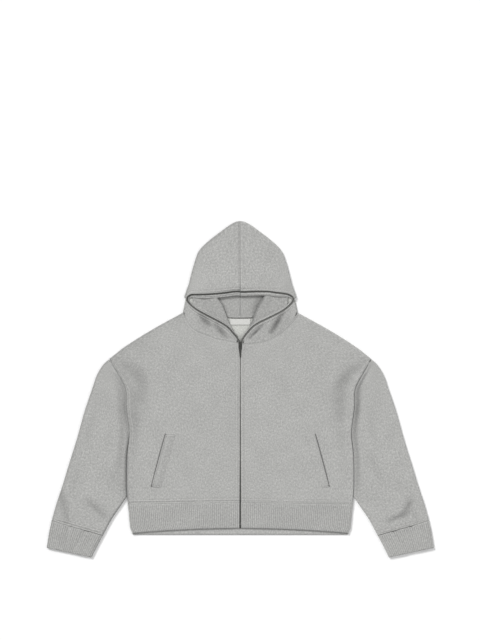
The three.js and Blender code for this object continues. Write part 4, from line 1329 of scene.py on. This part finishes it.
class SWEATSHIRT_OT_ribs(bpy.types.Operator):
    """Makes the ribbed cuffs and the ribbed hem band"""

    bl_idname = "sweatshirt.ribs"
    bl_label = "Ribs"

    def execute(self, context):
        rib = finish_of("rib")
        fine = spaced(0, 1, 118, step=0.8)
        across = np.concatenate([
            fine[:-1], np.linspace(1, 3, 13)[:-1], np.linspace(3, 4, 12)[:-1],
            np.linspace(4, 6, 13),
        ])
        along = np.linspace(0, 1, 26)
        for side, sign in SIDES.items():
            cuff = cloth_piece(
                name_on("cuff_rib", side), cuff_face, across, along, sign, -1, wall=RIB,
                join=True, finish=rib,
            )
            slotted(cuff, "rib_knit", name_on("cuff", side))
        half = np.concatenate([
            np.linspace(0.001, 1, 30)[:-1], np.linspace(1, 3, 13)[:-1], spaced(3, 4, 285, step=0.8),
        ])
        across = np.concatenate([-half[::-1], half])
        band = cloth_piece(
            "hem_rib", band_face, across, np.linspace(0, 1, 24), 1, 1, wall=RIB, finish=rib
        )
        slotted(band, "rib_knit", "hem_band")
        return {"FINISHED"}


class SWEATSHIRT_OT_hood(bpy.types.Operator):
    """Makes the hood's outer halves, each with its part beside the neck"""

    bl_idname = "sweatshirt.hood"
    bl_label = "Hood"

    def execute(self, context):
        fleece, inside = finish_of("fleece"), finish_of("inside")
        for side, sign in SIDES.items():
            across = np.concatenate([
                np.linspace(0, 0.08, 14)[:-1], np.linspace(0.08, 1, 50)[:-1],
                np.linspace(1, 3, 13)[:-1], np.linspace(3, 4, 20),
            ])
            along = np.concatenate([np.linspace(0, 0.94, 90)[:-1], np.linspace(0.94, 0.9995, 16)])
            hood = cloth_piece(
                name_on("hood_cloth", side), hood_face(side), across, along, sign, 1,
                finish=fleece, inner=inside,
            )
            slotted(hood, "fleece", name_on("hood", side))
            across = np.concatenate([
                np.linspace(COLLAR_FIRST, COLLAR_LAST, 80), np.linspace(1.1, 3, 10),
                np.linspace(3.2, 4, 4),
            ])
            along = spaced(0, 1, 50, fine=((6, 6, 0.9), (47, 4, 1)), step=2)
            neck = cloth_piece(
                name_on("neck_cloth", side), collar_face(side), across, along, sign, -1,
                # Painted shade in the neck part's creases.
                finish=fleece, inner=inside, shade=painted_crease_shade(COLLAR_CREASES[side], 3.4, 0.75),
            )
            slotted(neck, "fleece")
        return {"FINISHED"}


class SWEATSHIRT_OT_lining(bpy.types.Operator):
    """Makes what shows in the hood's mouth: the lining, the neck tape and the bare label"""

    bl_idname = "sweatshirt.lining"
    bl_label = "Lining"

    def execute(self, context):
        # The lining material, on the floor, flaps and neck tape, is darker as painted shade for the
        # hood's mouth.
        lining, fleece = finish_of("lining"), finish_of("fleece")
        for side, sign in SIDES.items():
            floor = cloth_piece(
                name_on("lining_cloth", side), lining_floor_face, np.linspace(0.15, 122, 42),
                np.linspace(0, 1, 32), sign, -1, wall=CLOTH - 0.2, finish=lining,
                # Painted shade behind the flap and under the hood's lip.
                shade=painted_shade_behind_flap(side),
            )
            slotted(floor, "fleece", name_on("hood_lining", side))
            across = np.concatenate([
                np.linspace(-1, 0, 5)[:-1], np.linspace(0, 1, 10)[:-1], np.linspace(1, 2, 30),
            ])
            flap = cloth_piece(
                name_on("lining_flap", side), flap_face(side), across, np.linspace(0, 1, 60),
                sign, 1, wall=CLOTH - 0.2, finish=lining,
            )
            slotted(flap, "fleece")
            edge = cloth_piece(
                name_on("lining_edge", side), lining_edge_face(side), np.linspace(0, 1, 10),
                np.linspace(0, 0.9995, 160), sign, -1, wall=CLOTH, finish=fleece,
            )
            slotted(edge, "fleece")
        tape = cloth_piece(
            "neck_tape_cloth", neck_tape_face, np.linspace(-1, 1, 40), np.linspace(0, 1, 5), 1, -1,
            wall=NECK_TAPE["thickness"] * 0.9, finish=finish_of("lining"),
        )
        slotted(tape, "fleece", "neck_tape")
        label = cloth_piece(
            "bare_label", label_face, np.linspace(-0.5, 0.5, 28), np.linspace(0, 1, 10), 1, -1,
            wall=LABEL["thickness"] * 0.6, finish=finish_of("label"),
        )
        slotted(label, "label", "neck_label")
        return {"FINISHED"}


class SWEATSHIRT_OT_pockets(bpy.types.Operator):
    """Makes the slanted pocket welts"""

    bl_idname = "sweatshirt.pockets"
    bl_label = "Pockets"

    def execute(self, context):
        for side, sign in SIDES.items():
            edges = ((1.2, 1.3, 0.5), (WELT["width"] - 1.2, 1.3, 0.5))
            across = spaced(0, 1, WELT["width"], fine=edges, step=2)
            along = spaced(0, 1, WELT_LENGTH, fine=((3, 4, 0.7), (WELT_LENGTH - 3, 4, 0.7)))
            welt = cloth_piece(
                name_on("welt_cloth", side), welt_face(side), across, along, sign, 1,
                wall=WELT["thickness"] * 0.95, finish=finish_of("fleece"),
            )
            slotted(welt, "fleece", name_on("pocket_welt", side))
            mouth = cloth_piece(
                name_on("pocket_shade_strip", side), pocket_shade_strip_face(side), np.linspace(0, 1, 7),
                np.linspace(0.01, 0.985, 60), sign, 1, wall=0.6, finish=finish_of("fleece"),
                # The whole strip is painted shade.
                shade=lambda out, up: np.ones_like(out),
            )
            slotted(mouth, "fleece")
        return {"FINISHED"}


class SWEATSHIRT_OT_zip(bpy.types.Operator):
    """Makes the zip's tapes and teeth, and finishes its metal parts"""

    bl_idname = "sweatshirt.zip"
    bl_label = "Zip"

    def execute(self, context):
        metal = finish_of("metal")
        pitch = sizes().tooth_pitch
        for place, (side, sign) in enumerate(SIDES.items()):
            along = np.concatenate(
                [np.linspace(0, ZIP_BODY_SHARE, 60)[:-1], np.linspace(ZIP_BODY_SHARE, 1, 150)]
            )
            tape = cloth_piece(
                name_on("tape_cloth", side), tape_face(side), np.linspace(0, 1, 5), along, sign, 1,
                wall=TAPE["thickness"], finish=finish_of("tape"),
            )
            slotted(tape, "zip_tape", name_on("zip_tape", side))
            line = whole_zip_line(side)
            share = np.linspace(0.004, 0.999, 1400)
            hooded = smooth(share, ZIP_BODY_SHARE, ZIP_BODY_SHARE + 0.03)
            middle = line(share, mix(0.2, -0.75, hooded))
            middle[:, 2] -= TAPE["thickness"] / 2
            step = line(np.minimum(share + 1e-3, 1), 0 * share) - line(share - 1e-3, 0 * share)
            normals = unit(np.cross(step, np.cross(plan(0 * share, 0 * share, 1.0), step)))
            mirror = np.array([sign, 1, 1])
            points, normals = middle * MM * mirror, normals * mirror
            points[:, 1] += place * pitch / 2
            tooth = (pitch * 0.5, 0.0026, 0.0015)
            bm = bmesh.new()
            for point, direction, normal in zip(*along_run(points, normals, pitch)):
                bmesh.ops.create_cube(
                    bm, size=1, matrix=frame_matrix(point, direction, normal, tooth)
                )
            teeth = finished(name_on("zip_teeth", side), bm, metal, smooth_shade=False)
            slotted(teeth, "zip_metal")
        for node in ("zip_slider", "zip_pull", "zip_stop"):
            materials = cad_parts[node].data.materials
            materials.clear()
            materials.append(metal)
        return {"FINISHED"}


def share_where(measure, fixed, search, target):
    """For each fixed value, the searched one at which a measure first reaches the target."""
    one, other = np.meshgrid(fixed, search, indexing="ij")
    values = measure(one.ravel(), other.ravel()).reshape(one.shape)
    return np.array([np.interp(target, row, search) for row in values])


def front_rows(side, sign):
    """Rows beside the zip, over the hem, under the neck and along the armhole."""
    front, neck = front_face(side), front_neck(side)
    start = float(neck(np.zeros(1))[0, 1])

    def from_zip(v, u):
        edge = column_at(ZIP_EDGE, "up", "half", mix(start, float(hem_seam_up(0)), v))
        return front(u, v)[:, 0] - edge

    def under_hem(u, v):
        point = front(u, v)
        return hem_seam_up(point[:, 0]) - point[:, 1]

    def under_neck(u, v):
        return np.linalg.norm((front(u, v) - neck(u))[:, :2], axis=1)

    def from_armhole(v, u):
        return -np.linalg.norm((front(u, v) - inset_edge(v))[:, :2], axis=1)

    t = np.linspace(0.004, 0.998, 120)
    near = share_where(from_zip, t, np.linspace(0, 0.12, 60), ZIP_ROW)
    rows = [run_on(front, near, t, sign)]
    s = np.linspace(0.006, 0.985, 100)
    for away in DOUBLE_ROW:
        low = share_where(under_hem, s, np.linspace(0.95, 1, 60), -away)
        rows.append(run_on(front, s, low, sign))
    s = np.linspace(0.03, 0.8, 90)
    high = share_where(under_neck, s, np.linspace(0, 0.04, 60), NECK_ROW)
    rows.append(run_on(front, s, high, sign))
    t = np.linspace(0.395, 0.735, 110)
    wide = share_where(from_armhole, t, np.linspace(0.94, 1, 60), -ARMHOLE_ROW)
    rows.append(run_on(front, wide, t, sign))
    return rows


def cuff_rows(side, sign):
    u = np.linspace(0.04, 0.97, 60)
    sleeve = sleeve_face(side)
    return [
        run_on(sleeve, u, np.full_like(u, 1 - away / SLEEVE_LENGTH), sign) for away in DOUBLE_ROW
    ]


def hood_rows(side, sign):
    """One row beside the hood's lip, and one beside the neck part's."""
    hood, collar, lip_line = hood_face(side), collar_face(side), zip_line(side)

    def from_hood_lip(v, u):
        lip = lip_line(mix(ZIP_CORNER, 1, v), np.full_like(v, EDGE_SHELL))
        return np.linalg.norm((hood(u, v) - lip)[:, :2], axis=1)

    def from_collar_lip(w, v):
        along = np.clip((w - COLLAR_FIRST) / (COLLAR_LAST - COLLAR_FIRST), 0, 1)
        lip = lip_line(mix(0.02, ZIP_CORNER - 0.015, along), np.full_like(w, EDGE_SHELL))
        return np.linalg.norm((collar(w, v) - lip)[:, :2], axis=1)

    t = np.linspace(0.05, 0.997, 120)
    w = np.linspace(0.05, 0.93, 90)
    on_hood = share_where(from_hood_lip, t, np.linspace(0, 0.3, 80), LIP_ROW)
    on_collar = share_where(from_collar_lip, w, np.linspace(0, 0.9, 80), LIP_ROW)
    return [run_on(hood, on_hood, t, sign), run_on(collar, w, on_collar, sign)]


def welt_rows(side, sign):
    across = np.linspace(0.05, 0.95, 12)
    welt = welt_face(side)
    return [
        run_on(welt, across, np.full_like(across, place / WELT_LENGTH), sign)
        for place in (WELT_ROW, WELT_LENGTH - WELT_ROW)
    ]


def lining_rows(sign):
    """Two rows beside the lining's middle seam, the same on both sides."""
    ladder = np.linspace(0.03, 0.62, 24)
    return [
        run_on(lining_floor_face, np.full_like(ladder, out), ladder, sign) for out in (2.2, 5.4)
    ]


class SWEATSHIRT_OT_topstitching(bpy.types.Operator):
    """Makes the topstitching along the seams, the zip, the hood's edge and the pockets"""

    bl_idname = "sweatshirt.topstitching"
    bl_label = "Topstitching"

    def execute(self, context):
        thread = finish_of("thread")
        for side, sign in SIDES.items():
            rows = lining_rows(sign)
            for sewn in (front_rows, cuff_rows, hood_rows, welt_rows):
                rows += sewn(side, sign)
            slotted(stitch_piece(name_on("topstitching", side), rows, thread), "fleece")
        across = np.linspace(-30, 30, 20)
        label_row = (plan(across, 165.2, CLOTH + 0.3) * MM, plan(0 * across, 0, 1.0))
        slotted(stitch_piece("label_stitching", [label_row], thread), "fleece")
        return {"FINISHED"}


class SWEATSHIRT_OT_stage(bpy.types.Operator):
    """Makes the white floor, the soft light and the camera that looks straight down"""

    bl_idname = "sweatshirt.stage"
    bl_label = "Stage"

    def execute(self, context):
        bm = bmesh.new()
        bmesh.ops.create_grid(bm, x_segments=8, y_segments=8, size=6)
        bmesh.ops.translate(bm, verts=bm.verts, vec=(0, 0, -0.0002))
        mesh = bpy.data.meshes.new("white_floor")
        bm.to_mesh(mesh)
        bm.free()
        mesh.materials.append(finish_of("floor"))
        floor = bpy.data.objects.new("white_floor", mesh)
        context.scene.collection.objects.link(floor)

        context.scene.view_settings.view_transform = "Standard"
        strength = sizes().light
        # The spread is in radians, the power in watts per square metre.
        for name, place, spread, power in (
            ("key_light", (-2.0, 2.4, 2.7), 0.3, 2.15),
            ("fill_light", (2.4, 1.0, 3.4), 1.2, 0.78),
            ("low_light", (-0.2, -2.4, 3.0), 1.2, 0.35),
        ):
            light = bpy.data.lights.new(name, "SUN")
            light.angle = spread
            light.energy = power * strength
            lamp = bpy.data.objects.new(name, light)
            lamp.location = place
            lamp.rotation_euler = (-Vector(place)).to_track_quat("-Z", "Y").to_euler()
            context.scene.collection.objects.link(lamp)

        world = context.scene.world or bpy.data.worlds.new("studio")
        context.scene.world = world
        world.use_nodes = True
        world.node_tree.nodes.clear()
        sky = add_node(
            world.node_tree, "ShaderNodeBackground", inputs={"Color": (1, 1, 1, 1), "Strength": 0.36}
        )
        add_node(world.node_tree, "ShaderNodeOutputWorld", inputs={"Surface": sky.outputs[0]})

        picture_height = PICTURE_HEIGHT * MM
        lens = bpy.data.cameras.new("camera")
        lens.sensor_fit = "VERTICAL"
        lens.sensor_height = 24
        lens.lens = 85
        distance = picture_height / lens.sensor_height * lens.lens
        lens.clip_end = 40
        camera = bpy.data.objects.new("camera", lens)
        camera.location = (*PICTURE_MIDDLE, distance)
        context.scene.collection.objects.link(camera)
        context.scene.camera = camera
        return {"FINISHED"}


class SWEATSHIRT_PT_panel(bpy.types.Panel):
    """Lists the sizes and the steps that build the sweatshirt"""

    bl_label = "Sweatshirt"
    bl_idname = "SWEATSHIRT_PT_panel"
    bl_space_type = "VIEW_3D"
    bl_region_type = "UI"
    bl_category = "Sweatshirt"

    def draw(self, context):
        for key in SweatshirtSizes.__annotations__:
            self.layout.prop(context.scene.sweatshirt, key)
        for step in STEPS:
            self.layout.operator(step.bl_idname)


STEPS = (
    SWEATSHIRT_OT_stage,
    SWEATSHIRT_OT_body,
    SWEATSHIRT_OT_sleeves,
    SWEATSHIRT_OT_ribs,
    SWEATSHIRT_OT_hood,
    SWEATSHIRT_OT_lining,
    SWEATSHIRT_OT_pockets,
    SWEATSHIRT_OT_zip,
    SWEATSHIRT_OT_topstitching,
)
CLASSES = (SweatshirtSizes, *STEPS, SWEATSHIRT_PT_panel)


def register():
    for made in CLASSES:
        bpy.utils.register_class(made)
    bpy.types.Scene.sweatshirt = PointerProperty(type=SweatshirtSizes)


def unregister():
    del bpy.types.Scene.sweatshirt
    for made in reversed(CLASSES):
        bpy.utils.unregister_class(made)


def main():
    """Builds everything in order."""
    register()
    for step in STEPS:
        group, operator = step.bl_idname.split(".")
        getattr(getattr(bpy.ops, group), operator)()


if __name__ == "__main__":
    main()
